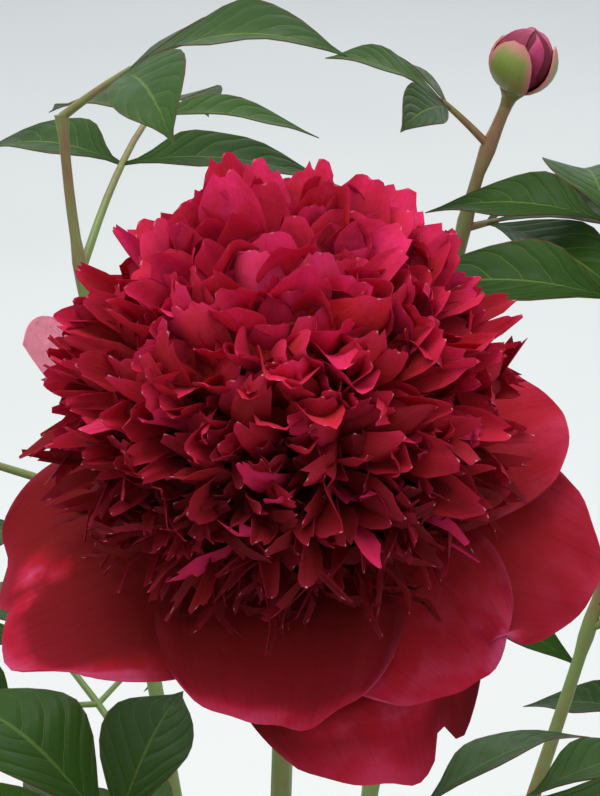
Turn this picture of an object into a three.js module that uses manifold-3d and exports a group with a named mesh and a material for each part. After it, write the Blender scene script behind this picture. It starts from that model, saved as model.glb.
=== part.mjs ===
// A potted double peony of the bomb form: one open bloom and one bud above compound leaves, in a clay pot.
// Lengths are millimetres and angles degrees. +Z is up, and the origin is the middle of the pot's foot.
// The open bloom leans towards -Y.
import * as THREE from "three";
import { mergeVertices } from "three/addons/utils/BufferGeometryUtils.js";
import Module from "manifold-3d";

const wasm = await Module();
wasm.setup();

// Driving dimensions

const GAP = 0.35; // left between neighbouring pieces
const POT = { height: 290, foot: 108, shoulder: 150, rim: 162, rimHeight: 44, wall: 10, floor: 12, sides: 36 };
const DRAIN = { count: 4, radius: 7, ring: 55 };
const SOIL = { top: 258, relief: 3.4, rings: 3 };
const STEM = { radius: 4.6, tip: 2, sides: 6, steps: 9, buried: 45 };
const PETIOLE = { radius: 2, tip: 1.3, sides: 4, steps: 5 };
const PETIOLULE = { radius: 1.4, tip: 1.1, sides: 3, steps: 2 };
const SUNK = 4; // how far a leaflet's root is sunk in its stalk
const BLADE = 1.3; // thickness of a leaflet, petal or sepal at its middle
const SLIVER = 0.05; // joined pieces lose facets that stand out by less than this

const BLOOM = { seat: [0, -112, 646], lean: 22, side: 0, swelling: 20, neck: 3.6 };
const BALL = { centre: 47, radius: 74, core: 38, coreCentre: 50, root: 31, count: 176, widest: 128, wide: 1.05, tall: 0.82, drop: 26 };
const COLLAR = { top: 38, bottom: 31, height: 22, sides: 14, clear: 2.6 };
const POST = { radius: 6, top: 8 };
const GUARD = { root: 6.35, base: -8, layer: 2.4, thickness: 1 };
const BUD = { seat: [95, 190, 686], lean: 4, side: 18, swelling: 8, neck: 2.5, radius: 12.6, height: 13.2, clear: 2.9 };

// Each guard petal: where it points round the bloom, its length, half its width, how far its tip droops,
// and the layer it lies in, 0 the lowest.
const GUARD_PETALS = [
  { heading: -67, length: 92, halfWidth: 42, droop: 33, layer: 0 },
  { heading: 22, length: 97, halfWidth: 37, droop: 1, layer: 3 },
  { heading: -11, length: 102, halfWidth: 46, droop: 8, layer: 1 },
  { heading: 102, length: 92, halfWidth: 41, droop: 4, layer: 1 },
  { heading: 204, length: 96, halfWidth: 50, droop: 9, layer: 1 },
  { heading: -50, length: 90, halfWidth: 38, droop: 8, layer: 2 },
  { heading: 62, length: 90, halfWidth: 38, droop: 5, layer: 0 },
  { heading: 150, length: 95, halfWidth: 27, droop: -28, layer: 2 },
  { heading: -92, length: 88, halfWidth: 38, droop: 8, layer: 3 },
];

// Each stem's path above the soil, what it ends in, and its leaves from the lowest up: the height each
// leaves the stem at, the way it points, its size and rise, and its number of leaflets.
const STEMS = [
  {
    name: "flower_stem",
    path: [[-4, -22, 255], [-6, -40, 370], [-2, -72, 510], [0, -96, 596]],
    end: BLOOM,
    leaves: [
      { height: 378, heading: 168, size: 1.13, rise: 50, leaflets: 9 },
      { height: 472, heading: -20, size: 1.08, rise: 39, leaflets: 5 },
      { height: 545, heading: 100, size: 0.86, rise: 30, leaflets: 3 },
    ],
  },
  {
    name: "bud_stem",
    path: [[22, 34, 255], [34, 84, 390], [58, 146, 540], [79, 182, 643]],
    end: BUD,
    leaves: [
      { height: 412, heading: 95, size: 1.19, rise: 42, leaflets: 9 },
      { height: 627, heading: 6, size: 1.1, rise: 14, leaflets: 3, stalk: 14 },
      { height: 661, heading: 182, size: 0.8, rise: 48, leaflets: 3 },
    ],
  },
  {
    name: "leafy_stem_1",
    path: [[-30, 34, 255], [-46, 70, 380], [-70, 116, 520], [-90, 150, 640], [-94, 160, 684]],
    leaves: [
      { height: 387, heading: 130, size: 1.19, rise: 40, leaflets: 9 },
      { height: 520, heading: 195, size: 1.19, rise: 36, leaflets: 5 },
      { height: 620, heading: 75, size: 1.05, rise: 34, leaflets: 5 },
      { height: 683, heading: -14, size: 1.25, rise: 40, leaflets: 3, stalk: 32 },
    ],
  },
  {
    name: "leafy_stem_2",
    path: [[52, 8, 255], [84, 30, 370], [122, 56, 500], [140, 68, 572]],
    leaves: [
      { height: 400, heading: 20, size: 1.19, rise: 34, leaflets: 9 },
      { height: 500, heading: -20, size: 1.19, rise: 36, leaflets: 5 },
      { height: 571, heading: 96, size: 1.15, rise: 54, leaflets: 5 },
    ],
  },
  {
    name: "leafy_stem_3",
    path: [[-56, -4, 255], [-96, 2, 360], [-138, 8, 470], [-162, 12, 546]],
    leaves: [
      { height: 378, heading: 186, size: 1.19, rise: 35, leaflets: 9 },
      { height: 480, heading: 120, size: 1.19, rise: 36, leaflets: 5 },
      { height: 545, heading: 205, size: 1.15, rise: 52, leaflets: 5 },
    ],
  },
  {
    name: "leafy_stem_4",
    path: [[36, -48, 255], [84, -84, 370], [140, -124, 480], [174, -148, 550], [182, -152, 580]],
    leaves: [
      { height: 380, heading: 300, size: 1.19, rise: 32, leaflets: 9 },
      { height: 480, heading: 10, size: 1.19, rise: 34, leaflets: 5 },
      { height: 579, heading: 176, size: 1.0, rise: 50, leaflets: 3 },
    ],
  },
  {
    name: "leafy_stem_5",
    path: [[-34, -50, 255], [-44, -108, 370], [-42, -150, 464], [-36, -166, 516]],
    leaves: [
      { height: 389, heading: 248, size: 1.19, rise: 36, leaflets: 9 },
      { height: 460, heading: 190, size: 1.19, rise: 30, leaflets: 5 },
      { height: 515, heading: 140, size: 1.15, rise: 48, leaflets: 3 },
    ],
  },
];

// Colours

const COLOUR = {
  clay: { color: 0xb5694a, roughness: 0.85 },
  soil: { color: 0x3a2a1e, roughness: 1 },
  leaf: { color: 0x2f5d27, roughness: 0.45 },
  petal: { color: 0x9c0f2a, roughness: 0.6 },
};

function material(slot) {
  return new THREE.MeshStandardMaterial({ ...COLOUR[slot], metalness: 0 });
}

// Small helpers

const degrees = THREE.MathUtils.degToRad;
const mix = THREE.MathUtils.lerp;

// A repeatable random number from 0 to 1 for item i and its property k.
function draw(i, k) {
  const x = Math.sin(i * 12.9898 + k * 78.233) * 43758.5453;
  return x - Math.floor(x);
}

function smooth(x) {
  const c = Math.min(Math.max(x, 0), 1);
  return c * c * (3 - 2 * c);
}

function solidOf(geometry) {
  const bare = geometry.clone();
  bare.deleteAttribute("normal");
  bare.deleteAttribute("uv");
  const merged = mergeVertices(bare, 1e-3);
  return new wasm.Manifold(
    new wasm.Mesh({
      numProp: 3,
      vertProperties: new Float32Array(merged.attributes.position.array),
      triVerts: new Uint32Array(merged.index.array),
    }),
  );
}

function geometryOf(solid) {
  const mesh = solid.getMesh();
  const positions = new Float32Array(mesh.numVert * 3);
  for (let v = 0; v < mesh.numVert; v++) {
    positions.set(mesh.vertProperties.subarray(v * mesh.numProp, v * mesh.numProp + 3), v * 3);
  }
  return new THREE.BufferGeometry()
    .setAttribute("position", new THREE.BufferAttribute(positions, 3))
    .setIndex(new THREE.BufferAttribute(new Uint32Array(mesh.triVerts), 1));
}

function piece(name, solid, slot) {
  const geometry = geometryOf(solid).toNonIndexed();
  geometry.computeVertexNormals();
  const mesh = new THREE.Mesh(geometry, material(slot));
  mesh.name = name;
  return mesh;
}

function geometryFrom(vertices, faces) {
  return new THREE.BufferGeometry()
    .setAttribute("position", new THREE.BufferAttribute(new Float32Array(vertices), 3))
    .setIndex(faces.flat());
}

// A tapering rod with flat ends along a smooth curve. Its foot can overrun the curve by a little.
function rod(curve, radius, tip, sides, steps, overrun = 0) {
  const frames = curve.computeFrenetFrames(steps);
  const vertices = [];
  const faces = [];
  for (let i = 0; i <= steps; i++) {
    const centre = curve.getPointAt(i / steps);
    if (i === 0) centre.addScaledVector(frames.tangents[0], -overrun);
    for (let j = 0; j < sides; j++) {
      const a = (2 * Math.PI * j) / sides;
      const p = centre
        .clone()
        .addScaledVector(frames.normals[i], mix(radius, tip, i / steps) * Math.cos(a))
        .addScaledVector(frames.binormals[i], mix(radius, tip, i / steps) * Math.sin(a));
      vertices.push(p.x, p.y, p.z);
    }
  }
  for (let j = 0; j < sides; j++) {
    const next = (j + 1) % sides;
    for (let ring = 0; ring < steps * sides; ring += sides) {
      faces.push([ring + j, ring + next, ring + sides + next], [ring + j, ring + sides + next, ring + sides + j]);
    }
    const end = steps * sides;
    if (j > 0 && next > 0) faces.push([0, next, j], [end, end + j, end + next]);
  }
  return solidOf(geometryFrom(vertices, faces));
}

// A closed blade with sharp edges. place(s, t) gives the point s across and t along its middle surface.
// Rows run from root to tip. The outer points are shared by both faces, and the inner ones stand half the
// thickness out on each side. The first and last rows may have any number of points if the row next to
// them has one inner point, which they fan out from.
function blade(rows, place, thickness = BLADE) {
  const vertices = [];
  const push = (p) => vertices.push(p.x, p.y, p.z) / 3 - 1;
  const grid = rows.map((row, r) =>
    row.map(([s, t], c) => {
      const p = place(s, t);
      if (r === 0 || r === rows.length - 1 || c === 0 || c === row.length - 1) {
        const shared = push(p);
        return { front: shared, back: shared, inner: false };
      }
      const step = 0.02;
      const across = place(s + step, t).sub(place(s - step, t));
      const along = place(s, t + step).sub(place(s, t - step));
      const out = across.cross(along).normalize().multiplyScalar(thickness / 2);
      return { front: push(p.clone().add(out)), back: push(p.clone().sub(out)), inner: true };
    }),
  );
  const faces = [];
  const triangle = (a, b, c) => faces.push([a.front, b.front, c.front], [a.back, c.back, b.back]);
  for (let r = 0; r + 1 < grid.length; r++) {
    const low = grid[r];
    const high = grid[r + 1];
    if (low.length === high.length) {
      for (let c = 0; c + 1 < low.length; c++) {
        const [a, b, e, d] = [low[c], low[c + 1], high[c + 1], high[c]];
        if (a.inner || e.inner) {
          triangle(a, b, e);
          triangle(a, e, d);
        } else {
          triangle(a, b, d);
          triangle(b, e, d);
        }
      }
    } else if (r === 0) {
      const hub = high[1];
      low.slice(1).forEach((point, c) => triangle(low[c], point, hub));
      triangle(low[0], hub, high[0]);
      triangle(low[low.length - 1], high[2], hub);
    } else {
      const hub = low[1];
      high.slice(1).forEach((point, c) => triangle(hub, point, high[c]));
      triangle(low[0], hub, high[0]);
      triangle(hub, low[2], high[high.length - 1]);
    }
  }
  return solidOf(geometryFrom(vertices, faces));
}

function row(t, ...across) {
  return across.map((s) => [s, t]);
}

// The pot and its soil

function turned(profile, sides) {
  return solidOf(new THREE.LatheGeometry(profile.map(([r, z]) => new THREE.Vector2(r, z)), sides).rotateX(Math.PI / 2));
}

function potInside(z) {
  return mix(POT.foot, POT.shoulder, z / POT.height) - POT.wall;
}

function pot() {
  const under = POT.height - POT.rimHeight;
  const body = turned(
    [
      [0, 0],
      [POT.foot, 0],
      [POT.shoulder - 4, under],
      [POT.rim - 4, under + 2],
      [POT.rim, POT.height - 5],
      [POT.rim - 4, POT.height],
      [potInside(POT.height), POT.height],
      [potInside(POT.floor), POT.floor],
      [0, POT.floor],
    ],
    POT.sides,
  );
  const drains = Array.from({ length: DRAIN.count }, (_, i) => {
    const a = degrees(45 + (360 / DRAIN.count) * i);
    const hole = new THREE.CylinderGeometry(DRAIN.radius, DRAIN.radius, 3 * POT.floor, 8).rotateX(Math.PI / 2);
    return solidOf(hole.translate(DRAIN.ring * Math.cos(a), DRAIN.ring * Math.sin(a), POT.floor / 2));
  });
  return body.subtract(wasm.Manifold.union(drains));
}

// The soil is level where it meets the pot and gently lumpy inside.
function soilHeight(x, y) {
  const lumps = Math.sin(0.11 * x + 1) * Math.cos(0.13 * y) + 0.6 * Math.sin(0.31 * x - 0.17 * y);
  return SOIL.top + SOIL.relief * lumps * smooth((potInside(SOIL.top) - Math.hypot(x, y)) / 40);
}

function soil(stems) {
  const bottom = POT.floor + GAP;
  const edge = potInside(SOIL.top) - GAP;
  const profile = [[0, bottom], [potInside(bottom) - GAP, bottom]];
  for (let ring = SOIL.rings; ring >= 0; ring--) {
    profile.push([(edge * ring) / SOIL.rings, SOIL.top]);
  }
  const geometry = new THREE.LatheGeometry(profile.map(([r, z]) => new THREE.Vector2(r, z)), POT.sides);
  geometry.rotateX(Math.PI / 2);
  const p = geometry.attributes.position;
  for (let v = 0; v < p.count; v++) {
    if (p.getZ(v) > SOIL.top - 1) p.setZ(v, soilHeight(p.getX(v), p.getY(v)));
  }
  const holes = stems.map((stem) => stemRod(stem, GAP));
  return solidOf(geometry).subtract(wasm.Manifold.union(holes));
}

// Stems

// A stem's curve, with its foot buried along the way it first leans.
function stemCurve(stem) {
  const points = stem.path.map((p) => new THREE.Vector3(...p));
  const lean = points[1].clone().sub(points[0]).normalize();
  points.unshift(points[0].clone().addScaledVector(lean, -STEM.buried));
  if (stem.end) points.push(headPlace(stem.end)(0, 0, -stem.end.swelling));
  return new THREE.CatmullRomCurve3(points);
}

function stemRod(stem, clearance = 0) {
  const tip = stem.end ? stem.end.neck : STEM.tip;
  return rod(stemCurve(stem), STEM.radius + clearance, tip + clearance, STEM.sides, STEM.steps, clearance);
}

function pointAtHeight(curve, height) {
  let [low, high] = [0, 1];
  while (high - low > 1e-5) {
    const middle = (low + high) / 2;
    if (curve.getPointAt(middle).z < height) low = middle;
    else high = middle;
  }
  return curve.getPointAt(low);
}

// Leaves

// The points of a leaf lie on one arched surface, a along it from the stem and b to its side.
function leafSurface(origin, heading, rise, size) {
  const out = new THREE.Vector3(Math.cos(degrees(heading)), Math.sin(degrees(heading)), 0);
  const side = new THREE.Vector3(-out.y, out.x, 0);
  const sag = 0.0021 / size;
  return (a, b, lift = 0) => {
    const height = a * Math.sin(degrees(rise)) - sag * a * a - (0.0016 / size) * b * b + lift;
    return origin
      .clone()
      .addScaledVector(out, a * Math.cos(degrees(rise)))
      .addScaledVector(side, b)
      .add(new THREE.Vector3(0, 0, height));
  };
}

const LEAFLET_ROWS = [row(0, 0), row(0.2, -0.4, 0, 0.4), row(0.47, -1, 0, 1), row(0.76, -0.7, 0, 0.7), row(1, 0)];

// A lance-shaped blade folded along its rib, from (a, b) on the leaf's surface.
function leaflet(surface, [a, b], turn, length) {
  const c = Math.cos(degrees(turn));
  const s = Math.sin(degrees(turn));
  const halfWidth = 0.19 * length;
  const place = (across, t) => {
    const x = length * t;
    const y = halfWidth * across;
    const lift = 0.3 * Math.abs(y) - 0.0016 * x * x;
    return surface(a + c * x - s * y, b + s * x + c * y, lift);
  };
  return blade(LEAFLET_ROWS, place, BLADE);
}

// A straight stalk on the leaf's surface. Leaflets are sunk in it at its socket.
function stalk(surface, from, turn, length, shape) {
  const [a, b] = from;
  const along = (distance) => [a + distance * Math.cos(degrees(turn)), b + distance * Math.sin(degrees(turn))];
  const curve = new THREE.CatmullRomCurve3([0, 0.35, 0.7, 1].map((u) => surface(...along(length * u))));
  return {
    socket: along(length - SUNK),
    solid: rod(curve, shape.radius, shape.tip, shape.sides, shape.steps),
  };
}

// Leaflets in threes at the end of a stalk, the side ones rooted a little before the middle one.
function trio(surface, [a, b], turn, length) {
  const before = [a - 1.2 * Math.cos(degrees(turn)), b - 1.2 * Math.sin(degrees(turn))];
  return [
    leaflet(surface, [a, b], turn, length),
    leaflet(surface, before, turn + 52, 0.82 * length),
    leaflet(surface, before, turn - 52, 0.82 * length),
  ];
}

// A leaf of three, five or nine leaflets. Its main stalk runs on past the side ones to the middle trio.
function leaf(origin, { heading, size, rise, leaflets, stalk: reach = leaflets === 3 ? 38 : 114 }) {
  const surface = leafSurface(origin, heading, rise, size);
  const forks = 64 * size;
  const main = stalk(surface, [0, 0], 0, reach * size, PETIOLE);
  const parts = [main.solid, ...trio(surface, main.socket, 0, 98 * size)];
  for (const way of leaflets === 3 ? [] : [-1, 1]) {
    if (leaflets === 9) {
      const branch = stalk(surface, [forks, 0], 64 * way, 36 * size, PETIOLULE);
      parts.push(branch.solid, ...trio(surface, branch.socket, 64 * way, 74 * size));
    } else {
      parts.push(leaflet(surface, [forks, 0], 60 * way, 96 * size));
    }
  }
  return parts;
}

// Flower heads

// A head's own frame: its seat, leaning towards -Y and then to its side, with z along its axis.
function headPlace(head) {
  const matrix = new THREE.Matrix4()
    .makeRotationFromEuler(new THREE.Euler(degrees(head.lean), degrees(head.side), 0, "ZYX"))
    .setPosition(new THREE.Vector3(...head.seat));
  return (x, y, z) => new THREE.Vector3(x, y, z).applyMatrix4(matrix);
}

// The end of the flower's stem: the swelling under the bloom, the post its petals stand round, and sepals.
function receptacle() {
  const at = headPlace(BLOOM);
  const profile = [
    [0, -22],
    [STEM.radius, -22],
    [8.5, -13.5],
    [POST.radius, -11],
    [POST.radius, POST.top],
    [0, POST.top],
  ];
  const turnedPost = turned(profile, 10).rotate([BLOOM.lean, 0, 0]).translate(BLOOM.seat);
  const sepalRows = [row(0, -1, 1), row(0.3, -0.9, 0, 0.9), row(0.7, -0.95, 0, 0.95), row(1, -0.5, 0, 0.5)];
  const sepals = Array.from({ length: 5 }, (_, i) => {
    const a = degrees(72 * i + 18);
    return blade(sepalRows, (s, t) => {
      const r = 4 + 23 * t;
      const across = 8 * s * Math.sin(0.5 + 2 * t);
      const z = -12.5 - 0.012 * r * r + 0.04 * across * across;
      return at(r * Math.cos(a) - across * Math.sin(a), r * Math.sin(a) + across * Math.cos(a), z);
    });
  });
  return [turnedPost, ...sepals];
}

const GUARD_ROWS = [
  row(0, -1, -0.5, 0, 0.5, 1),
  row(0.25, -1, -0.5, 0, 0.5, 1),
  row(0.5, -1, -0.5, 0, 0.5, 1),
  row(0.72, -1, -0.5, 0, 0.5, 1),
  row(0.9, -1, -0.5, 0, 0.5, 1),
  row(1, -1, -0.5, 0, 0.5, 1),
];

// The height of a guard petal over the bloom's seat at a distance from the axis.
function guardHeight(layer, droop, distance) {
  const cup = 0.16 * distance - 0.0012 * distance * distance;
  return GUARD.base + GUARD.layer * layer + cup - droop * (distance / 92) ** 4;
}

function guardPetal({ heading, length, halfWidth, droop, layer }) {
  const at = headPlace(BLOOM);
  const a = degrees(heading);
  const place = (s, t) => {
    const beyond = Math.min(Math.max(2 * t - 1, 0), 1);
    const reach = GUARD.root + (length - GUARD.root) * (Math.min(t, 0.5) + 0.5 * beyond * Math.sqrt(1 - (s * s) / 2));
    const across = halfWidth * s * Math.min(0.1 + 1.9 * t, 1) * Math.sqrt(1 - (beyond * beyond) / 2);
    return at(
      reach * Math.cos(a) - across * Math.sin(a),
      reach * Math.sin(a) + across * Math.cos(a),
      guardHeight(layer, droop, Math.hypot(reach, across)),
    );
  };
  return blade(GUARD_ROWS, place, GUARD.thickness);
}

// Petaloid i of the ball, by a golden-angle spiral from the crest to the lowest ring.
function petaloid(i) {
  const share = (i + 0.5) / BALL.count;
  const onBall = degrees(BALL.widest * share ** 0.56);
  const low = smooth((onBall - degrees(96)) / degrees(30));
  const polar = onBall - degrees(24) * low; // the lowest lie out over the guard petals
  const turn = degrees(137.508 * i);
  const fringe = smooth((polar - degrees(48)) / degrees(56));
  const outward = new THREE.Vector3(Math.sin(polar) * Math.cos(turn), Math.sin(polar) * Math.sin(turn), Math.cos(polar));
  const down = new THREE.Vector3(Math.cos(polar) * Math.cos(turn), Math.cos(polar) * Math.sin(turn), -Math.sin(polar));
  const round = new THREE.Vector3(-Math.sin(turn), Math.cos(turn), 0);
  const twist = (draw(i, 1) - 0.5) * mix(1.1, 2.2, fringe);
  const side = round.clone().multiplyScalar(Math.cos(twist)).addScaledVector(down, Math.sin(twist));
  const back = down.clone().multiplyScalar(Math.cos(twist)).addScaledVector(round, -Math.sin(twist));
  const halfWidth = mix(10.5, 3.4, fringe) * mix(0.85, 1.2, draw(i, 2));
  const short = 1 - 0.2 * low;
  const root = BALL.root - 7 * low;
  const reach = BALL.radius * mix(0.93, 1.05, draw(i, 3)) * short - root;
  const lean = mix(-0.1, 0.16, draw(i, 4)) + 0.05 * fringe;
  const curl = mix(-0.1, 0.16, draw(i, 5)) * mix(1, 0.8, fringe);
  const cup = mix(0.35, 0.8, draw(i, 6));
  const tooth = mix(0.05, 0.1, draw(i, 7)) + 0.06 * fringe;
  const at = headPlace(BLOOM);
  const tips = fringe > 0.75 ? [[0, 1]] : [[-0.9, 0.9], [-0.45, 0.99 - tooth], [0, 1], [0.45, 0.99 - tooth], [0.9, 0.92]];
  const rows = [row(0, -0.3, 0.3), row(0.42, -0.5, 0, 0.5), row(0.76, -1, 0, 1), tips];
  return blade(rows, (s, t) => {
    const across = halfWidth * s;
    const bend = reach * (lean * t + curl * t * t) - (cup * across * across * t) / halfWidth;
    const p = outward
      .clone()
      .multiply(new THREE.Vector3(BALL.wide, BALL.wide, BALL.tall))
      .multiplyScalar(root + reach * t)
      .addScaledVector(back, bend)
      .addScaledVector(side, across);
    const ground = guardHeight(3, -14, Math.hypot(p.x, p.y)) + COLLAR.clear;
    return at(p.x, p.y, Math.max(p.z + BALL.centre - BALL.drop * low, ground));
  });
}

// The ball of petaloids round its smaller core, with the broad collar that stands on the post.
function petaloidBall() {
  const core = new THREE.IcosahedronGeometry(BALL.core, 1).scale(1, 1, BALL.tall).translate(0, 0, BALL.coreCentre);
  const collar = new THREE.CylinderGeometry(COLLAR.top, COLLAR.bottom, COLLAR.height, COLLAR.sides)
    .rotateX(Math.PI / 2)
    .translate(0, 0, POST.top + GAP + COLLAR.height / 2);
  const inner = solidOf(core).add(solidOf(collar)).rotate([BLOOM.lean, 0, 0]).translate(BLOOM.seat);
  const petals = Array.from({ length: BALL.count }, (_, i) => petaloid(i));
  return wasm.Manifold.union([inner, ...petals]).simplify(SLIVER);
}

// The bud: furled petals as a ridged globe, held by sepals that grow from the stem.
function budPetals() {
  const globe = new THREE.SphereGeometry(1, 15, 8).rotateX(Math.PI / 2);
  const p = globe.attributes.position;
  const at = headPlace(BUD);
  for (let v = 0; v < p.count; v++) {
    const [x, y, z] = [p.getX(v), p.getY(v), p.getZ(v)];
    const ridge = 1 + 0.03 * Math.hypot(x, y) * Math.cos(5 * Math.atan2(y, x) + 3 * z);
    const moved = at(BUD.radius * ridge * x, BUD.radius * ridge * y, BUD.height * (1 + z) + GAP);
    p.setXYZ(v, moved.x, moved.y, moved.z);
  }
  return solidOf(globe);
}

function budSepals() {
  const at = headPlace(BUD);
  const rows = [row(0, -1, 1), row(0.3, -1, 0, 1), row(0.65, -1, 0, 1), row(1, -0.4, 0, 0.4)];
  return Array.from({ length: 4 }, (_, i) => {
    const heading = degrees([236, 352, 60, 140][i]);
    const top = degrees([128, 130, 96, 108][i]);
    const spread = degrees([45, 38, 38, 40][i]);
    return blade(rows, (s, t) => {
      const polar = mix(degrees(12), top, t);
      const turn = heading + (spread * s) / Math.max(Math.sin(polar), 0.55);
      return at(
        (BUD.radius + BUD.clear) * Math.sin(polar) * Math.cos(turn),
        (BUD.radius + BUD.clear) * Math.sin(polar) * Math.sin(turn),
        BUD.height + GAP - (BUD.height + BUD.clear) * Math.cos(polar),
      );
    });
  });
}

function budSeat() {
  return turned([[0, -12], [2.8, -12], [3.2, -6], [5.6, -1.8], [3.8, 0], [0, 0]], 8)
    .rotate([BUD.lean, BUD.side, 0])
    .translate(BUD.seat);
}

function leafyStem(stem) {
  const curve = stemCurve(stem);
  const parts = [stemRod(stem)];
  stem.leaves.forEach((spec) => parts.push(...leaf(pointAtHeight(curve, spec.height), spec)));
  if (stem.end === BLOOM) parts.push(...receptacle());
  if (stem.end === BUD) parts.push(budSeat(), ...budSepals());
  return wasm.Manifold.union(parts).simplify(SLIVER);
}

// The whole plant

const plant = new THREE.Group();
plant.add(piece("pot", pot(), "clay"));
plant.add(piece("soil", soil(STEMS), "soil"));
STEMS.forEach((stem) => plant.add(piece(stem.name, leafyStem(stem), "leaf")));
GUARD_PETALS.forEach((petal, k) => plant.add(piece(`guard_petal_${k + 1}`, guardPetal(petal), "petal")));
plant.add(piece("petaloid_ball", petaloidBall(), "petal"));
plant.add(piece("bud_petals", budPetals(), "petal"));

export default plant;
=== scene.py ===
# %% [markdown]
# # A potted double peony
#
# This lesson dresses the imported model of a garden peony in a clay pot: one open bloom of the bomb form, one
# bud, seven stems with leaves, soil and pot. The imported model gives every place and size. Here each of its
# plain solids is replaced by a finer piece of the same form, with veins, folds and colour.
# Lengths in Blender are metres, +Z is up, and the bloom leans towards -Y, where the camera stands.

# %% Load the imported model
import contextlib
import math
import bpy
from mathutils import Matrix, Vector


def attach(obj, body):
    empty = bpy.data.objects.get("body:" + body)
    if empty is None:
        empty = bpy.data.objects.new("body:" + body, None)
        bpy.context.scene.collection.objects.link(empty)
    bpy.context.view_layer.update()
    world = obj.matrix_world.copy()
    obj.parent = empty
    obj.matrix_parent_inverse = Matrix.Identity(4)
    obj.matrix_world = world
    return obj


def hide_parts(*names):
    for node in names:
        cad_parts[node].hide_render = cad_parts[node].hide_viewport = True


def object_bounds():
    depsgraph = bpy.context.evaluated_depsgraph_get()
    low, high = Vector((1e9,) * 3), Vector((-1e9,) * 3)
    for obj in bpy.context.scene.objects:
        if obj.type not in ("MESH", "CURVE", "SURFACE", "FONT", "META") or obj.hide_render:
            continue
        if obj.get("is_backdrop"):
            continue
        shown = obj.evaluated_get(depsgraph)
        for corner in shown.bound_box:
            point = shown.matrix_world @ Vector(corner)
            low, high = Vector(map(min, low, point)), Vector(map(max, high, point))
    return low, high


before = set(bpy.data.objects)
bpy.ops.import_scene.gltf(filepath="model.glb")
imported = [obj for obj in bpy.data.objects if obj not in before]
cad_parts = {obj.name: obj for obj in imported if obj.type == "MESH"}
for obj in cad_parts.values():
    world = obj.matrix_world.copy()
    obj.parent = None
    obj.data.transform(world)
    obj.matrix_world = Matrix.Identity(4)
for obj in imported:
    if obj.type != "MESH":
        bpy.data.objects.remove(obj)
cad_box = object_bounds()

from types import SimpleNamespace

import bmesh
import bpy
import numpy as np
from mathutils import Vector

print("nodes to dress:", len(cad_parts))
print("plain model from", [round(c, 3) for c in cad_box[0]], "to", [round(c, 3) for c in cad_box[1]])

# %% [markdown]
# ## The camera
#
# The photograph looks down at the bloom from the front, about 25 degrees above the horizon, from near by.
# The camera looks at a point just under the middle of the ball of petals from 75 cm away. A lens of 111 mm
# then makes the upright frame 24 cm high there.

# %% The camera
AIM, DISTANCE = Vector((0.0046, -0.130, 0.690)), 0.750
LOOKS_DOWN = math.radians(25)
FILM, FRAME_HEIGHT = 36, 0.243
towards_camera = Vector((0, -math.cos(LOOKS_DOWN), math.sin(LOOKS_DOWN)))
bpy.ops.object.camera_add(location=AIM + DISTANCE * towards_camera, rotation=(math.pi / 2 - LOOKS_DOWN, 0, 0))
camera = bpy.context.object
camera.data.sensor_width = FILM
camera.data.lens = FILM * DISTANCE / FRAME_HEIGHT
camera.data.clip_start = 0.01
bpy.context.scene.camera = camera
print("camera at", [round(c, 3) for c in camera.location], "lens", round(camera.data.lens, 1), "mm")

# %% [markdown]
# ## Reading and moving the points of a mesh
#
# Petals and leaflets are each modelled once, flat, with Blender's own tools. Every copy is then led to its
# place on the plant and curved there. That last step moves the points in code, because the Curve and Lattice
# modifiers can't follow the same formulas as the solids do. numpy holds the points of a mesh as rows of x, y
# and z, in millimetres here, since the plant was drawn in millimetres.

# %% Selecting and editing
MM = 0.001


def select_none():
    bpy.ops.object.select_all(action="DESELECT")


def only(*obs):
    """Selects these objects alone and makes the first one active."""
    select_none()
    for ob in obs:
        ob.select_set(True)
    bpy.context.view_layer.objects.active = obs[0]


@contextlib.contextmanager
def editing(ob):
    """Edit mode on one object, with nothing selected to begin with."""
    only(ob)
    bpy.ops.object.mode_set(mode="EDIT")
    bpy.ops.mesh.select_all(action="DESELECT")
    yield
    bpy.ops.object.mode_set(mode="OBJECT")


def pick(ob, test):
    """In edit mode, selects the points whose place passes the test, and all between them."""
    mesh = bmesh.from_edit_mesh(ob.data)
    for v in mesh.verts:
        v.select_set(bool(test(v.co)))
    mesh.select_flush_mode()
    bmesh.update_edit_mesh(ob.data)


def fresh(name):
    """The primitive that was just added, with a name and with its place in its mesh."""
    bpy.ops.object.transform_apply(location=True)
    bpy.context.object.name = name
    return bpy.context.object


# %% Points, copies and masters
def points(ob):
    """The places of all points, as rows of x, y and z."""
    flat = np.empty(3 * len(ob.data.vertices))
    ob.data.vertices.foreach_get("co", flat)
    return flat.reshape(-1, 3)


def settle(ob, places, unit=MM):
    """Puts the object's points at these places, in millimetres unless another unit is given."""
    ob.data.vertices.foreach_set("co", np.asarray(places, np.float32).ravel() * unit)
    ob.data.update()
    return ob


def toned(ob, tone=0.0):
    """Gives a piece its tone, one number for the whole piece or one for each point, for its finish to read."""
    attribute = ob.data.attributes.new("tone", "FLOAT", "POINT")
    attribute.data.foreach_set("value", np.full(len(ob.data.vertices), tone, np.float32))
    return ob


def copy_of(master):
    ob = master.copy()
    ob.data = master.data.copy()
    bpy.context.collection.objects.link(ob)
    return ob


def keep_aside(master, *finishes):
    """Gives a master its finishes. It isn't part of the plant, so it leaves the scene and is only copied from."""
    for finish in finishes:
        master.data.materials.append(finish.material)
    for collection in list(master.users_collection):
        collection.objects.unlink(master)
    return master


# %% Joining, thickening and finishing
def join(obs, name):
    only(*obs)
    if len(obs) > 1:
        bpy.ops.object.join()
    obs[0].name = obs[0].data.name = name
    return obs[0]


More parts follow.
